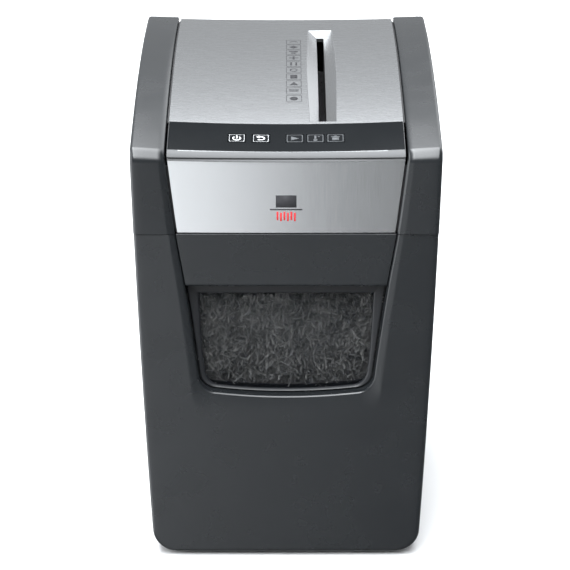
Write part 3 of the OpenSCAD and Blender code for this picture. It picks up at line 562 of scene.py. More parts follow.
def arm_dip(station):
    """How far the arm's inner edge lies below its outer edge."""
    if station.turn < 0:
        return ARM_RISE * (1 - smooth(-station.turn))
    down_front = 1 - 0.75 * smooth((station.turn - BEND_LEAN) / (math.pi / 2 - BEND_LEAN))
    return ARM_RISE * down_front


def arm_section(station, edge_r):
    """Points across an arm, from the flange in the shadow gap to the start of the side wall."""
    inner, outer = arm_inner(station.z), half_at(station.z)
    front = smooth((station.turn - BEND_LEAN) / 0.6)
    chamfer = ARM_CHAMFER + (LEG_CHAMFER - ARM_CHAMFER) * front
    if station.turn < 0:
        chamfer = 0.0006
    dip = arm_dip(station)
    points = [station.at(inner, FLANGE), station.at(inner, dip + chamfer)]
    start, end = inner + chamfer, outer - edge_r
    for t in spread(0, 1, 6):
        points.append(station.at(start + (end - start) * t, dip * (1 - t) ** 1.3))
    for step in spread(0, math.pi / 2, 6)[1:]:
        x = end + edge_r * math.sin(step)
        points.append(station.at(x, edge_r * (1 - math.cos(step))))
    return points


def side_cover(side):
    """An arm with its side wall, back and front column, as one shell."""
    edge_top, edge_front, edge_back = 0.003, 0.004, 0.003
    level = BEND_Z
    heights = spread(level, SEAM, 7)[1:]
    back_plane = [Station(BACK, z, -math.pi / 2) for z in reversed(heights)]
    back_plane.append(Station(BACK, level, -math.pi / 2))
    rear = [rear_station(t) for t in spread(-math.pi / 2, REAR_LEAN, 6)]
    tangent_y = CREST_Y - DOME_R * math.sin(BEND_LEAN)
    dome = [dome_station(y) for y in spread(REAR_Y, tangent_y, 30)[1:]]
    bend = [bend_station(t) for t in spread(BEND_LEAN, math.pi / 2, 14)[1:]]
    front_plane = [Station(FRONT, z, math.pi / 2) for z in heights]

    def edge(station):
        if station.turn < 0:
            return edge_back
        return edge_top + (edge_front - edge_top) * smooth((station.turn - BEND_LEAN) / 1.0)

    skin = Skin()
    stations = back_plane + rear + dome + bend + front_plane
    skin.grid([arm_section(s, edge(s)) for s in stations])
    over = rear + dome + bend
    rims = [arm_section(s, edge(s))[-1] for s in over]
    columns = [p.y for p in rims]
    shelf = [Vector((half_at(level), y, level)) for y in columns]
    skin.grid([rims, shelf])
    skin.grid([[Vector((half_at(z), y, z)) for y in columns] for z in [level] + heights])
    for v in skin.bm.verts:
        v.co.x *= side
    name = "arm_and_side_right" if side > 0 else "arm_and_side_left"
    piece = skin.build(name, PAINT["charcoal"], inside=(side * 0.115, 0, 0.36))
    thicken(piece, WALL)
    piece.modifiers["thickness"].use_even_offset = False
    soften(piece, 0.00025, 60)
    stand(piece, "head_and_cabinet", "charcoal_plastic", "right_cover" if side > 0 else "left_cover")


# ---------- silver panel ----------

PANEL_BACK = PANEL_HIGH.y
POCKET = (FRONT + 0.0098, FRONT + 0.057)
POCKET_HALF = PANEL_HALF - 0.0005
FUNNEL = (FRONT + 0.061, FRONT + 0.291)
FUNNEL_DEEP = 0.0063
THROAT_HALF = 0.0033
THROAT_DEEP = 0.0098
# The lip's foot and the band's top edge both hang lower in the middle by this much.
LIP_SAG = 0.0012
# The control strip lies this far below the panel around it.
STRIP_DROP = 0.0003
NEAR = 1e-7
KEY_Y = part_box("power_button")[0].lerp(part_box("power_button")[1], 0.5).y
KEY_W, KEY_D = 0.016, 0.0145
KEY_XS = [-0.043, -0.022]
LENS_XS = [0.0075, 0.0255, 0.043]


def panel_sag(x, y):
    """The panel is dished: its middle lies lower than its two sides."""
    depth = through([(FRONT, 0.0012), (POCKET[0], 0.0022), (POCKET[1], 0.0027),
                     (0.02, 0.0020), (PANEL_BACK, 0.0012)], y)
    return depth * (1 - (x / PANEL_HALF) ** 2)


def on_panel(station, x, raised=0.0):
    """A point on the dished panel, raised above its surface."""
    return station.at(x, PANEL_DROP + panel_sag(x, station.y) - raised)


def rim_half(y):
    """Half the width of the funnel's rim, widest in its middle."""
    return through([(FUNNEL[0], 0.0118), (0.0, 0.0135), (FUNNEL[1], 0.0115)], y)


def panel_columns(y):
    """Places across the panel at depth y, the funnel's rim and throat among them."""
    rim = rim_half(min(max(y, FUNNEL[0]), FUNNEL[1]))
    left = [-PANEL_HALF] + spread(-POCKET_HALF, SLOT_X - rim, 14)
    right = spread(SLOT_X + rim, POCKET_HALF, 8) + [PANEL_HALF]
    return left + [SLOT_X - THROAT_HALF, SLOT_X + THROAT_HALF] + right


def lip_foot(x):
    """How far the panel turns down at its front edge, which lies just above the shoulder."""
    z = SHOULDER + 0.0004 - LIP_SAG * (1 - (x / PANEL_HALF) ** 2)
    reach = (z - BEND_Z) / (BEND_R - PANEL_DROP - panel_sag(x, FRONT))
    return math.acos(min(1.0, max(0.0, reach)))


def top_panel():
    """Silver panel with its front lip, the pocket for the control strip and the paper funnel."""
    throat_ends = (FUNNEL[0] + FUNNEL_DEEP, FUNNEL[1] - FUNNEL_DEEP)
    ys = spread(PANEL_BACK, FUNNEL[1], 5)[:-1] + [FUNNEL[1]]
    ys += spread(throat_ends[1], throat_ends[0], 30) + [FUNNEL[0]]
    ys += [POCKET[1]] + spread(POCKET[1], POCKET[0], 6)[1:]
    stations = [dome_station(y) for y in ys]
    stations.append(bend_station(BEND_LEAN))
    # Columns of panel_columns: the funnel's left rim, then the throat's two sides.
    rim_left = 15
    cut = (rim_left + 1, rim_left + 2)

    def in_funnel(y):
        return throat_ends[0] - NEAR <= y <= throat_ends[1] + NEAR

    rows = []
    for s in stations:
        deep = FUNNEL_DEEP if in_funnel(s.y) and s.turn <= BEND_LEAN else 0.0
        rows.append([on_panel(s, x, -deep if j in cut else 0.0)
                     for j, x in enumerate(panel_columns(s.y))])
    for part in spread(0.0, 1.0, 9)[1:]:
        rows.append([on_panel(bend_station(BEND_LEAN + part * (lip_foot(x) - BEND_LEAN)), x)
                     for x in panel_columns(FRONT)])

    def hole(i, j):
        if i + 1 >= len(stations):
            return False
        a, b = stations[i].y, stations[i + 1].y
        pocket = a <= POCKET[1] + NEAR and b >= POCKET[0] - NEAR and 0 < j < len(rows[0]) - 2
        slit = in_funnel(a) and in_funnel(b) and j == cut[0]
        corner = (in_funnel(a) != in_funnel(b)) and j in (rim_left, cut[1])
        return pocket or slit or corner

    skin = Skin()
    skin.grid(rows, hole)
    for i in range(len(stations) - 1):
        a, b = in_funnel(stations[i].y), in_funnel(stations[i + 1].y)
        if a == b:
            continue
        end, body = (rows[i + 1], rows[i]) if a else (rows[i], rows[i + 1])
        for outer, inner in ((rim_left, cut[0]), (cut[1] + 1, cut[1])):
            skin.face([end[outer], end[inner], body[inner]])
            skin.face([end[outer], body[inner], body[outer]])
    inside = [i for i, s in enumerate(stations) if in_funnel(s.y) and s.turn <= BEND_LEAN]
    rim_loop = [(i, cut[0]) for i in inside] + [(i, cut[1]) for i in reversed(inside)]
    high = [rows[i][j] for i, j in rim_loop]
    low = [stations[i].at(panel_columns(stations[i].y)[j],
                          PANEL_DROP + panel_sag(SLOT_X, stations[i].y) + THROAT_DEEP) for i, j in rim_loop]
    skin.tube([high, low])
    piece = skin.build("silver_top_panel", PAINT["silver"], inside=(0, 0, 0.1))
    # The front lip, the narrow rims beside the pocket and the rounded edges take the darker lip silver:
    # painted shade.
    piece.data.materials.append(PAINT["lip"])
    for face in piece.data.polygons:
        side_rim = abs(face.center.x) > POCKET_HALF and face.center.y < POCKET[1]
        if face.center.y < POCKET[0] + 0.0001 or side_rim:
            face.material_index = 1
    thicken(piece, 0.0016)
    soften(piece, 0.00025, 20, 2)
    piece.modifiers["edge_round"].material = 1
    stand(piece, "head_and_cabinet", "silver_panel", "top_panel")


# ---------- control strip, keys and print ----------


def strip_place(x, y, raised=0.0):
    """Placement on the control strip: a function of (right, back, up) offsets in a local flat frame."""
    station = dome_station(y)
    origin = on_panel(station, x, raised - STRIP_DROP)
    step = 0.001
    across = (on_panel(station, x + step) - on_panel(station, x - step)).normalized()
    ahead = (on_panel(dome_station(y + step), x) - on_panel(dome_station(y - step), x)).normalized()
    up = across.cross(ahead).normalized()
    ahead = up.cross(across)

    def place(u, v, w):
        return origin + across * u + ahead * v + up * w

    return place


def rounded_box(half_w, half_d, r, steps=5):
    """Outline of a rectangle with rounded corners."""
    points = []
    for k, (cx, cy) in enumerate([(1, 1), (-1, 1), (-1, -1), (1, -1)]):
        points += circle_outline(cx * (half_w - r), cy * (half_d - r), r,
                                 k * math.pi / 2, (k + 1) * math.pi / 2, steps)
    return points


def circle_outline(cx, cy, r, start=0.0, end=2 * math.pi, steps=24):
    return [(cx + r * math.cos(a), cy + r * math.sin(a)) for a in spread(start, end, steps)]


def arc_band(cx, cy, r0, r1, start, end, steps=20):
    """Outline of a part of a ring."""
    return circle_outline(cx, cy, r1, start, end, steps) + circle_outline(cx, cy, r0, end, start, steps)


def bar(cx, cy, half_w, half_d):
    return [(cx - half_w, cy - half_d), (cx + half_w, cy - half_d),
            (cx + half_w, cy + half_d), (cx - half_w, cy + half_d)]


def control_strip():
    """Glossy strip in the pocket, with two key openings and three lens openings."""
    gap = 0.0003
    half = POCKET_HALF - gap
    xs = [-half, half]
    for x in KEY_XS + LENS_XS:
        xs += [x - KEY_W / 2, x + KEY_W / 2]
    xs = sorted(set(xs))
    dense = []
    for a, b in zip(xs, xs[1:]):
        dense += spread(a, b, max(1, round((b - a) / 0.008)))[:-1]
    dense.append(xs[-1])
    ys = spread(POCKET[0] + gap, KEY_Y - KEY_D / 2, 3)[:-1]
    ys += spread(KEY_Y - KEY_D / 2, KEY_Y + KEY_D / 2, 3)[:-1]
    ys += spread(KEY_Y + KEY_D / 2, POCKET[1] - gap, 4)
    rows = [[on_panel(dome_station(y), x, -STRIP_DROP) for x in dense] for y in ys]

    def hole(i, j):
        x, y = (dense[j] + dense[j + 1]) / 2, (ys[i] + ys[i + 1]) / 2
        return abs(y - KEY_Y) < KEY_D / 2 and any(abs(x - k) < KEY_W / 2 for k in KEY_XS + LENS_XS)

    skin = Skin()
    skin.grid(rows, hole)
    piece = skin.build("glossy_control_strip", PAINT["gloss"], inside=(0, 0, 0.1))
    thicken(piece, 0.0025)
    soften(piece, 0.0003, 40, 3)
    stand(piece, "head_and_cabinet", "gloss_strip", "control_strip")


def key_cap(name, x, gap, paint, height=0.0038):
    """A shallow cap with rounded corners; its top is very slightly dished."""
    place = strip_place(x, KEY_Y)
    half_w, half_d = KEY_W / 2 - gap, KEY_D / 2 - gap
    skin = Skin()
    profile = [(0.0, -height), (0.0, -0.0005), (0.00015, -0.00015), (0.0005, 0.0), (0.004, -0.00012)]
    loops = [[place(u, v, w) for u, v in rounded_box(half_w - d, half_d - d, max(0.0012 - d, 0.0004))]
             for d, w in profile]
    skin.tube(loops)
    skin.face(loops[-1])
    skin.face(loops[0][::-1])
    piece = skin.build(name, paint)
    even = piece.modifiers.new("even_shading", "WEIGHTED_NORMAL")
    even.keep_sharp = True
    return piece


# Thickness of print, and how far print on the slightly dished keys is sunk.
PRINT = 0.00006
PRINT_SINK = 0.00008


def printed(name, paint, place, shapes, body, frame_box=None):
    """Thin print on a surface: filled outlines, with a rounded frame round them."""
    skin = Skin()
    for outline in shapes:
        skin.prism(outline, place, PRINT)
    if frame_box:
        half_w, half_d, line = frame_box
        skin.ring(rounded_box(half_w, half_d, 0.0016), rounded_box(half_w - line, half_d - line, 0.0010),
                  place, PRINT)
    piece = skin.build(name, paint)
    stand(piece, body, "keys")


def power_shapes():
    """The usual power sign: a broken ring with a bar in its gap."""
    gap = math.radians(38)
    ring = arc_band(0, -0.0004, 0.0026, 0.0038, math.pi / 2 + gap, 5 * math.pi / 2 - gap)
    return [ring, bar(0, 0.0019, 0.0006, 0.0026)]


def reverse_shapes():
    """A turn-back arrow."""
    hook = arc_band(0.0006, 0, 0.0019, 0.0031, -math.pi / 2, math.pi / 2)
    legs = [bar(-0.0011, -0.0025, 0.0017, 0.0006), bar(-0.0004, 0.0025, 0.0010, 0.0006)]
    return [hook] + legs + [[(-0.0040, 0.0025), (-0.0013, 0.0050), (-0.0013, 0.0)]]


def keys_and_lenses():
    """Two sprung caps and three fixed indicator windows, each with its printed sign."""
    caps = [("power_button", "power_key", power_shapes()),
            ("reverse_button", "reverse_key", reverse_shapes())]
    frame_box = (KEY_W / 2 - 0.0009, KEY_D / 2 - 0.0009, 0.0008)
    for x, (node, body, shapes) in zip(KEY_XS, caps):
        cap = key_cap(node + "_cap", x, 0.00035, PAINT["key"])
        stand(cap, body, "keys", node)
        place = strip_place(x, KEY_Y, -PRINT_SINK)
        printed(node + "_print", PAINT["white_ink"], place, shapes, body, frame_box)
    signs = [
        [[(-0.0032, -0.0034), (0.0040, 0.0), (-0.0032, 0.0034)]],
        [bar(0, 0.0012, 0.0009, 0.0034), circle_outline(0, -0.0030, 0.0018)[:-1],
         bar(0.0030, 0.0030, 0.0011, 0.0005)],
        [bar(0, -0.0012, 0.0030, 0.0024), bar(0, 0.0024, 0.0038, 0.0006), bar(0, 0.0036, 0.0012, 0.0006)],
    ]
    for k, (x, shapes) in enumerate(zip(LENS_XS, signs)):
        lens = key_cap(f"indicator_lens_{k + 1}", x, 0.00008, PAINT["key"], 0.0026)
        stand(lens, "head_and_cabinet", "lens", "indicator_lenses")
        place = strip_place(x, KEY_Y, -PRINT_SINK)
        printed(f"indicator_sign_{k + 1}", PAINT["grey_ink"], place, shapes, "head_and_cabinet", frame_box)


def panel_signs():
    """A column of ten small framed signs beside the slot: plain marks with no particular meaning."""
    size, pitch, x = 0.014, 0.016, 0.007
    marks = [
        [circle_outline(0, 0, 0.0036)[:-1]],
        [bar(0, 0, 0.0044, 0.0009), bar(0, 0.0028, 0.0044, 0.0005)],
        [[(-0.004, -0.0034), (0.004, -0.0034), (0.0, 0.0038)]],
        [bar(0, 0, 0.0032, 0.0042)],
        [arc_band(0, 0, 0.0026, 0.0038, 0.3, 2 * math.pi - 0.3)],
        [bar(-0.0024, 0, 0.0008, 0.0040), bar(0.0024, 0, 0.0008, 0.0040)],
        [bar(0, 0, 0.0009, 0.0042), bar(-0.0026, 0, 0.0015, 0.0008), bar(0.0026, 0, 0.0015, 0.0008)],
        [bar(0, 0.0022, 0.0040, 0.0013), bar(0, -0.0022, 0.0022, 0.0013)],
        [[(-0.0042, 0), (0, -0.0042), (0.0042, 0), (0, 0.0042)]],
        [arc_band(0, -0.0016, 0.0030, 0.0042, 0.2, math.pi - 0.2)],
    ]
    skin = Skin()
    for k, shapes in enumerate(marks):
        place = strip_place(x, FRONT + 0.0985 + size / 2 + k * pitch, STRIP_DROP)
        for outline in shapes:
            skin.prism(outline, place, PRINT)
        skin.ring(rounded_box(size / 2, size / 2, 0.0012),
                  rounded_box(size / 2 - 0.0005, size / 2 - 0.0005, 0.0008), place, PRINT)
    piece = skin.build("panel_sign_column", PAINT["dark_ink"])
    stand(piece, "head_and_cabinet", "silver_panel")


# ---------- band ----------

BAND_Y = BAND_LOW.y
BAND_TOP = BAND_HIGH.z
BAND_CROWN = 0.0012
BAND_ROLL = 0.0022


def band_sink(x):
    """How far the band's surface lies behind its crown."""
    t = x / PANEL_HALF
    return BAND_CROWN * t * t


def front_band():
    """Silver band: slightly crowned, its top edge rolled back under the panel's lip."""
    skin = Skin()
    rows = []
    us = spread(-1, 1, 28)
    for z in spread(BAND_LOW.z, BAND_TOP - BAND_ROLL, 16):
        half = recess_half(z) - SHADOW_GAP
        rows.append([Vector((u * half, BAND_Y + band_sink(u * half), z)) for u in us])
    for a in spread(0, math.pi / 2, 6)[1:]:
        z = BAND_TOP - BAND_ROLL + BAND_ROLL * math.sin(a)
        back = BAND_ROLL * (1 - math.cos(a))
        half = recess_half(z) - SHADOW_GAP
        rows.append([Vector((u * half, BAND_Y + band_sink(u * half) + back, z)) for u in us])
    for row in rows:
        for p in row:
            lowered = LIP_SAG * (1 - (p.x / PANEL_HALF) ** 2)
            p.z -= lowered * smooth((p.z - BAND_LOW.z) / (BAND_TOP - BAND_LOW.z))
    rows.append([p + Vector((0, 0.003, 0)) for p in rows[-1]])
    skin.grid(rows)
    piece = skin.build("silver_front_band", PAINT["band"], inside=(0, 0, 0.34))
    # The rolled top and the rounded edges take the darker lip silver: painted shade.
    piece.data.materials.append(PAINT["lip"])
    for face in piece.data.polygons:
        if face.normal.z > 0.3:
            face.material_index = 1
    thicken(piece, 0.0012)
    soften(piece, 0.0002, 50, 2)
    piece.modifiers["edge_round"].material = 1
    stand(piece, "head_and_cabinet", "silver_panel", "front_band")


def band_mark():
    """A plain sheet-into-strips sign where a maker would print a mark."""
    z0 = BAND_LOW.z + 0.018
    y = BAND_Y + band_sink(0)

    def place(u, v, w):
        return Vector((u, y + band_sink(u) - w + 0.00001, z0 + v))

    skin = Skin()
    skin.prism(bar(0, 0.0105, 0.0090, 0.0055), place, PRINT)
    skin.prism(bar(0, 0.0032, 0.0140, 0.0006), place, PRINT)
    piece = skin.build("band_sheet_sign", PAINT["dark_ink"])
    stand(piece, "head_and_cabinet", "silver_panel")
    skin = Skin()
    for k in range(6):
        x = -0.0075 + k * 0.0030
        skin.prism(bar(x, -0.0026 - 0.0009 * (k % 2), 0.0008, 0.0038), place, PRINT)
    piece = skin.build("band_strip_sign", PAINT["accent_ink"])
    stand(piece, "head_and_cabinet", "silver_panel")


# ---------- bin front ----------

BIN_Y = BIN_LOW.y
BIN_BACK = BIN_HIGH.y
RECESS_DEEP = 0.0185
RECESS_CORNER = (0.0615, SHOULDER - 0.1985)
RECESS_CORNER_R = 0.016
RECESS_FOOT = SHOULDER - 0.218
FOOT_R = 0.540
# How far the lower corners of the recess and of the pane turn.
CORNER_TURN = -math.radians(80)
RIM = 0.0024
EDGE_R = 0.004


def foot_points(low, r, x0, steps):
    """The shallow arc of a foot, from x0 to the middle; r other than FOOT_R moves it off low."""
    return [(x, low + FOOT_R - math.sqrt(r * r - x * x)) for x in spread(x0, 0, steps)]


def keystone(inset, top, sides=14, corner=9, foot=10):
    """Right half of the recess outline, from its top down to the middle of its foot."""
    cx, cz = RECESS_CORNER
    r = RECESS_CORNER_R - inset
    arc = circle_outline(cx, cz, r, 0.0, CORNER_TURN, corner)
    side = [(recess_half(z) - inset, z) for z in spread(top, cz, sides)][:-1]
    return side + arc + foot_points(RECESS_FOOT, FOOT_R - inset, arc[-1][0], foot)[1:]


def body_edge(inset, top, sides=14, corner=9, foot=10):
    """Right half of the bin's outside outline, with as many points as the keystone's."""
    gap = 0.0002
    base = BIN_LOW.z - gap + CORNER_R
    centre_x = half_at(base) - CORNER_R
    r = CORNER_R - inset - gap
    side = [(half_at(z) - inset - gap, z) for z in spread(top, base, sides)][:-1]
    arc = circle_outline(centre_x, base, r, 0, -math.pi / 2, corner)
    return side + arc + [(x, base - r) for x in spread(arc[-1][0], 0, foot)[1:]]


def both_sides(right):
    """A whole outline from its right half, from the top left round to the top right."""
    left = [(-x, z) for x, z in right]
    return left[:-1] + right[::-1]


def bin_face_y(x):
    """The bin front is crowned very slightly across its width."""
    return BIN_Y + 0.0012 * (x / HALF) ** 2


def bin_front():
    """Moulded bin front: chamfered keystone recess, crowned face and rounded outer edges."""
    top = BIN_HIGH.z
    inner = both_sides(keystone(0, top))
    rim = both_sides(keystone(-RIM, top))
    edge = both_sides(body_edge(EDGE_R, top))
    rows = [[Vector((x, BIN_Y + RECESS_DEEP, z)) for x, z in inner],
            [Vector((x, bin_face_y(x) + RIM, z)) for x, z in inner]]
    for t in spread(0, 1, 8):
        rows.append([Vector((a[0] + (b[0] - a[0]) * t, bin_face_y(a[0] + (b[0] - a[0]) * t),
                             a[1] + (b[1] - a[1]) * t)) for a, b in zip(rim, edge)])
    for a in spread(0, math.pi / 2, 6)[1:]:
        out = both_sides(body_edge(EDGE_R * (1 - math.sin(a)), top))
        back = EDGE_R * (1 - math.cos(a))
        rows.append([Vector((x, bin_face_y(x) + back, z)) for x, z in out])
    out = both_sides(body_edge(0, top))
    rows.append([Vector((x, BIN_BACK, z)) for x, z in out])
    skin = Skin()
    skin.grid(rows)
    piece = skin.build("bin_front_moulding", PAINT["charcoal"], inside=(0, BIN_BACK, 0.1))
    thicken(piece, 0.0022)
    soften(piece, 0.00025, 60)
    stand(piece, "bin", "charcoal_plastic", "bin_front")


# ---------- grip panel, window ----------

GRIP_Y = GRIP_LOW.y
GRIP_GAP = 0.0006
GRIP_ROLL = 0.003


def grip_panel():
    """Flush panel in the recess; its foot is rolled back into a lip for the fingers."""
    rows = []
    us = spread(-1, 1, 24)
    foot = GRIP_LOW.z

    def row(z, back, narrow=0.0):
        half = recess_half(z) - GRIP_GAP - narrow
        return [Vector((u * half, GRIP_Y + back, z)) for u in us]

    for z in spread(GRIP_HIGH.z, foot + GRIP_ROLL, 10):
        rows.append(row(z, 0.0))
    for a in spread(0, math.pi / 2, 6)[1:]:
        rows.append(row(foot + GRIP_ROLL * (1 - math.sin(a)), GRIP_ROLL * (1 - math.cos(a))))
    rows.append(row(foot, GRIP_ROLL + 0.0035))
    skin = Skin()
    skin.grid(rows)
    piece = skin.build("grip_panel_moulding", PAINT["charcoal"], inside=(0, 0, 0.29))
    thicken(piece, 0.0022)
    soften(piece, 0.0004, 60)
    stand(piece, "bin", "charcoal_plastic", "grip_panel")


WINDOW_TOP = SHOULDER - 0.109
WINDOW_Y = FRONT + 0.019
WINDOW_LEAN = math.radians(5)
PANE_SIDE = [(0.000, 0.0772), (0.049, 0.0745), (0.070, 0.0722)]
PANE_TOP = SHOULDER - 0.1278
PANE_CORNER = (0.0580, SHOULDER - 0.1978)
PANE_CORNER_R = 0.014
PANE_FOOT = SHOULDER - 0.215


def leaned(x, z, deep=0.0):
    """A point of the window's plane: x, height, and depth behind the plane."""
    down = WINDOW_TOP - z
    return Vector((x, WINDOW_Y - down * math.sin(WINDOW_LEAN) + deep * math.cos(WINDOW_LEAN), z))


def pane_outline(grow=0.0, sides=14, corner=9, foot=10):
    """Right half of the pane's visible outline."""
    cx, cz = PANE_CORNER
    top = PANE_TOP + grow
    side = [(through(PANE_SIDE, PANE_TOP - z) + grow, z) for z in spread(top, cz, sides)][:-1]
    r = PANE_CORNER_R + grow
    arc = circle_outline(cx, cz, r, 0, CORNER_TURN, corner)
    return side + arc + foot_points(PANE_FOOT, FOOT_R + grow, arc[-1][0], foot)[1:]


def closed_outline(right, top_steps=12):
    """A closed outline from its right half: down the left, along the foot, up the right and back."""
    around = both_sides(right)
    (x0, z0), (x1, _) = around[-1], around[0]
    back = [(x0 + (x1 - x0) * i / top_steps, z0) for i in range(1, top_steps)]
    return around + back


def window_frame():
    """Dark frame that fills the recess round the pane, with a bevelled inner edge."""
    outer = closed_outline(keystone(0.0012, WINDOW_TOP))
    inner = closed_outline(pane_outline(0.0016))
    lip = closed_outline(pane_outline(0.0))
    rows = [[leaned(x, z, 0.0035) for x, z in outer], [leaned(x, z) for x, z in outer],
            [leaned(x, z) for x, z in inner], [leaned(x, z, 0.0016) for x, z in lip],
            [leaned(x, z, 0.0035) for x, z in lip]]
    skin = Skin()
    skin.tube(rows + rows[:1])
    piece = skin.build("window_surround", PAINT["dark"])
    soften(piece, 0.0003, 50)
    stand(piece, "bin", "dark_plastic", "window_frame")


def bin_window():
    """The smoked pane: a flat plate right behind the frame."""
    outline = closed_outline(pane_outline(0.004))
    skin = Skin()
    skin.prism(outline, lambda u, v, w: leaned(u, v, 0.0036 + w), 0.002)
    piece = skin.build("smoked_window", PAINT["pane"])
    stand(piece, "bin", "window_plastic", "bin_window")


# ---------- shredded paper ----------

STRIP_T = 0.00012
FRONT_STRIPS = 9000
TOP_STRIPS = 5000
# Half widths that the loose strips are spread over, behind the window and on the top.
FRONT_SPAN = 0.094
TOP_SPAN = 0.112
# From the bin's outside to the heap: the tub's inset, its wall and a little play.
HEAP_WALLS = 0.0084
HEAP_SIDE_FALL = 0.022
HEAP_END_FALL = 0.010


def curled_strip(rng, place, turn, tilt, roll):
    """One cut strip: a thin ribbon, curled along its length and twisted a little."""
    length = rng.uniform(0.008, 0.016)
    width = rng.uniform(0.0010, 0.0018)
    curl = rng.uniform(-90, 90)
    twist = rng.uniform(-0.5, 0.5)
    spin = Matrix.Rotation(turn, 3, "Z") @ Matrix.Rotation(tilt, 3, "X") @ Matrix.Rotation(roll, 3, "Y")
    sections = []
    for t in spread(-0.5, 0.5, 3):
        along = t * length
        bend = along * curl
        centre = Vector((0, along, 0.5 * along * bend))
        normal = Vector((0, -math.sin(bend), math.cos(bend)))
        side = Vector((math.cos(twist * t), 0, math.sin(twist * t)))
        up = (normal - side * normal.dot(side)).normalized()
        signs = ((-1, -1), (1, -1), (1, 1), (-1, 1))
        corners = [side * s * width / 2 + up * w * STRIP_T / 2 for s, w in signs]
        sections.append([place + spin @ (centre + c) for c in corners])
    return sections


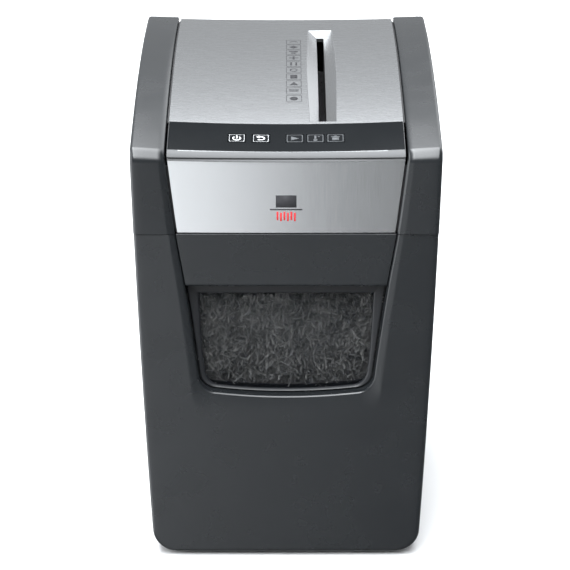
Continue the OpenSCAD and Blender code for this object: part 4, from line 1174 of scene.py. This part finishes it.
def paper_heap():
    """The heap behind the window: a lumpy core under many thousand loose curled strips."""
    rng = random.Random(7)
    front, back = HEAP_LOW.y, HEAP_HIGH.y
    top = HEAP_HIGH.z
    core_inset = 0.006
    verts, faces = [], []

    def half_inside(z):
        base = HEAP_LOW.z + CORNER_R
        if z < base:
            drop = base - z
            r = CORNER_R - HEAP_WALLS
            return half_at(base) - CORNER_R + math.sqrt(max(0.0, r * r - min(drop, r) ** 2))
        return half_at(z) - HEAP_WALLS

    def crown(x, y):
        return top - HEAP_SIDE_FALL * (x / 0.12) ** 2 - HEAP_END_FALL * smooth((abs(y) - 0.08) / 0.08)

    def add_strip(place, turn, tilt, roll):
        sections = curled_strip(rng, place, turn, tilt, roll)
        base = len(verts)
        for section in sections:
            verts.extend(section)
        for k in range(len(sections) - 1):
            for c in range(4):
                a, b = base + 4 * k + c, base + 4 * k + (c + 1) % 4
                faces.append((a, b, b + 4, a + 4))
        faces.append((base + 3, base + 2, base + 1, base))
        end = base + 4 * (len(sections) - 1)
        faces.append((end, end + 1, end + 2, end + 3))

    for _ in range(FRONT_STRIPS):
        z = rng.uniform(PANE_FOOT - 0.022, PANE_TOP + 0.004)
        x = rng.uniform(-FRONT_SPAN, FRONT_SPAN)
        y = front + rng.uniform(0.0005, 0.011)
        add_strip(Vector((x, y, z)), rng.uniform(-0.6, 0.6) + rng.choice((0, math.pi / 2)),
                  rng.uniform(-1.5, 1.5), rng.uniform(-1.2, 1.2))
    for _ in range(TOP_STRIPS):
        y = rng.uniform(front + 0.008, back - 0.012)
        x = rng.uniform(-TOP_SPAN, TOP_SPAN)
        z = crown(x, y) + rng.uniform(-0.012, 0.003)
        add_strip(Vector((x, y, z)), rng.uniform(0, math.pi), rng.uniform(-0.6, 0.6), rng.uniform(-0.7, 0.7))
    xs, ys = spread(-1, 1, 26), spread(front + core_inset, back - core_inset, 30)
    core_rows = []
    for y in ys:
        row = []
        for u in xs:
            x = u * (half_inside(top - 0.03) - core_inset)
            lump = 0.003 * math.sin(61 * x + 17 * y) * math.sin(47 * y - 23 * x)
            row.append(Vector((x, y, crown(x, y) - core_inset + lump)))
        core_rows.append(row)
    skin = Skin()
    skin.grid(core_rows)
    floor_z = HEAP_LOW.z + 0.001
    edge = core_rows[0] + [r[-1] for r in core_rows[1:]]
    edge += core_rows[-1][-2::-1] + [r[0] for r in core_rows[-2:0:-1]]
    levels = spread(1.0, 0.0, 12)
    loops = []
    for level in levels:
        loop = []
        for p in edge:
            z = floor_z + (p.z - floor_z) * level
            limit = half_inside(z) - core_inset
            loop.append(Vector((max(-limit, min(limit, p.x)) if abs(p.x) > 0.09 else p.x, p.y, z)))
        loops.append(loop)
    skin.tube(loops)
    skin.face(loops[-1])
    base_mesh = bpy.data.meshes.new("strips")
    base_mesh.from_pydata([tuple(v) for v in verts], [], faces)
    bmesh.ops.remove_doubles(skin.bm, verts=skin.bm.verts, dist=1e-5)
    skin.bm.from_mesh(base_mesh)
    bpy.data.meshes.remove(base_mesh)
    bmesh.ops.recalc_face_normals(skin.bm, faces=skin.bm.faces)
    piece = skin.emit("shredded_paper_heap", PAINT["paper"])
    stand(piece, "bin", "paper", "shredded_paper")


# ---------- pieces that keep their CAD shape ----------

NODE_PAINTS = {
    "textured": ["cabinet_left_wall", "cabinet_right_wall", "cabinet_back_wall", "cabinet_floor",
                 "rear_cover"],
    "pit": ["top_frame", "front_frame", "head_base", "throat_guide_left", "throat_guide_right"],
    "dark": ["bin_tub", "stripper_comb_left", "stripper_comb_right", "motor_fan", "switch_housing",
             "cord_gland", "paper_sensor", "safety_switch"],
    "steel": ["front_side_plate", "rear_side_plate", "tie_rods", "rod_nuts", "plate_screws", "idler_pins",
              "gear_end_plate", "motor_pinion", "motor_rotor", "motor_bracket", "motor_bolts"],
    "cutter": ["cutter_left", "cutter_right"],
    "bronze": ["front_bushes", "rear_bushes", "brush_holders"],
    "nylon": ["sync_gear_left", "sync_gear_right", "main_gear", "idler_gear_near", "idler_gear_far"],
    "lamination": ["motor_stator"],
    "board": ["control_board", "power_board"],
    "component": ["board_components", "power_components"],
    "red": ["mains_rocker", "safety_plunger"],
    "rubber": ["feet"],
}
EDGE_ROUND = {"textured": 0.0012, "dark": 0.0005, "rubber": 0.0008, "red": 0.0004, "pit": 0.0004}
# Rounding the edges of this one left a dark spike beside the gland.
SHARP_NODES = {"rear_cover"}


def dress_nodes():
    """Gives every node that stays its material, and eases the edges of the mouldings."""
    for paint, names in NODE_PAINTS.items():
        for name in names:
            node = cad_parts[name]
            node.data.materials.clear()
            node.data.materials.append(PAINT[paint])
            if paint in EDGE_ROUND and name not in SHARP_NODES:
                weld = node.modifiers.new("weld", "WELD")
                weld.merge_threshold = 0.00001
                soften(node, EDGE_ROUND[paint], 40)


make_camera()
make_light()
make_floor()
PAINT = make_paints()
side_cover(1)
side_cover(-1)
top_panel()
control_strip()
keys_and_lenses()
panel_signs()
front_band()
band_mark()
bin_front()
grip_panel()
window_frame()
bin_window()
paper_heap()
dress_nodes()
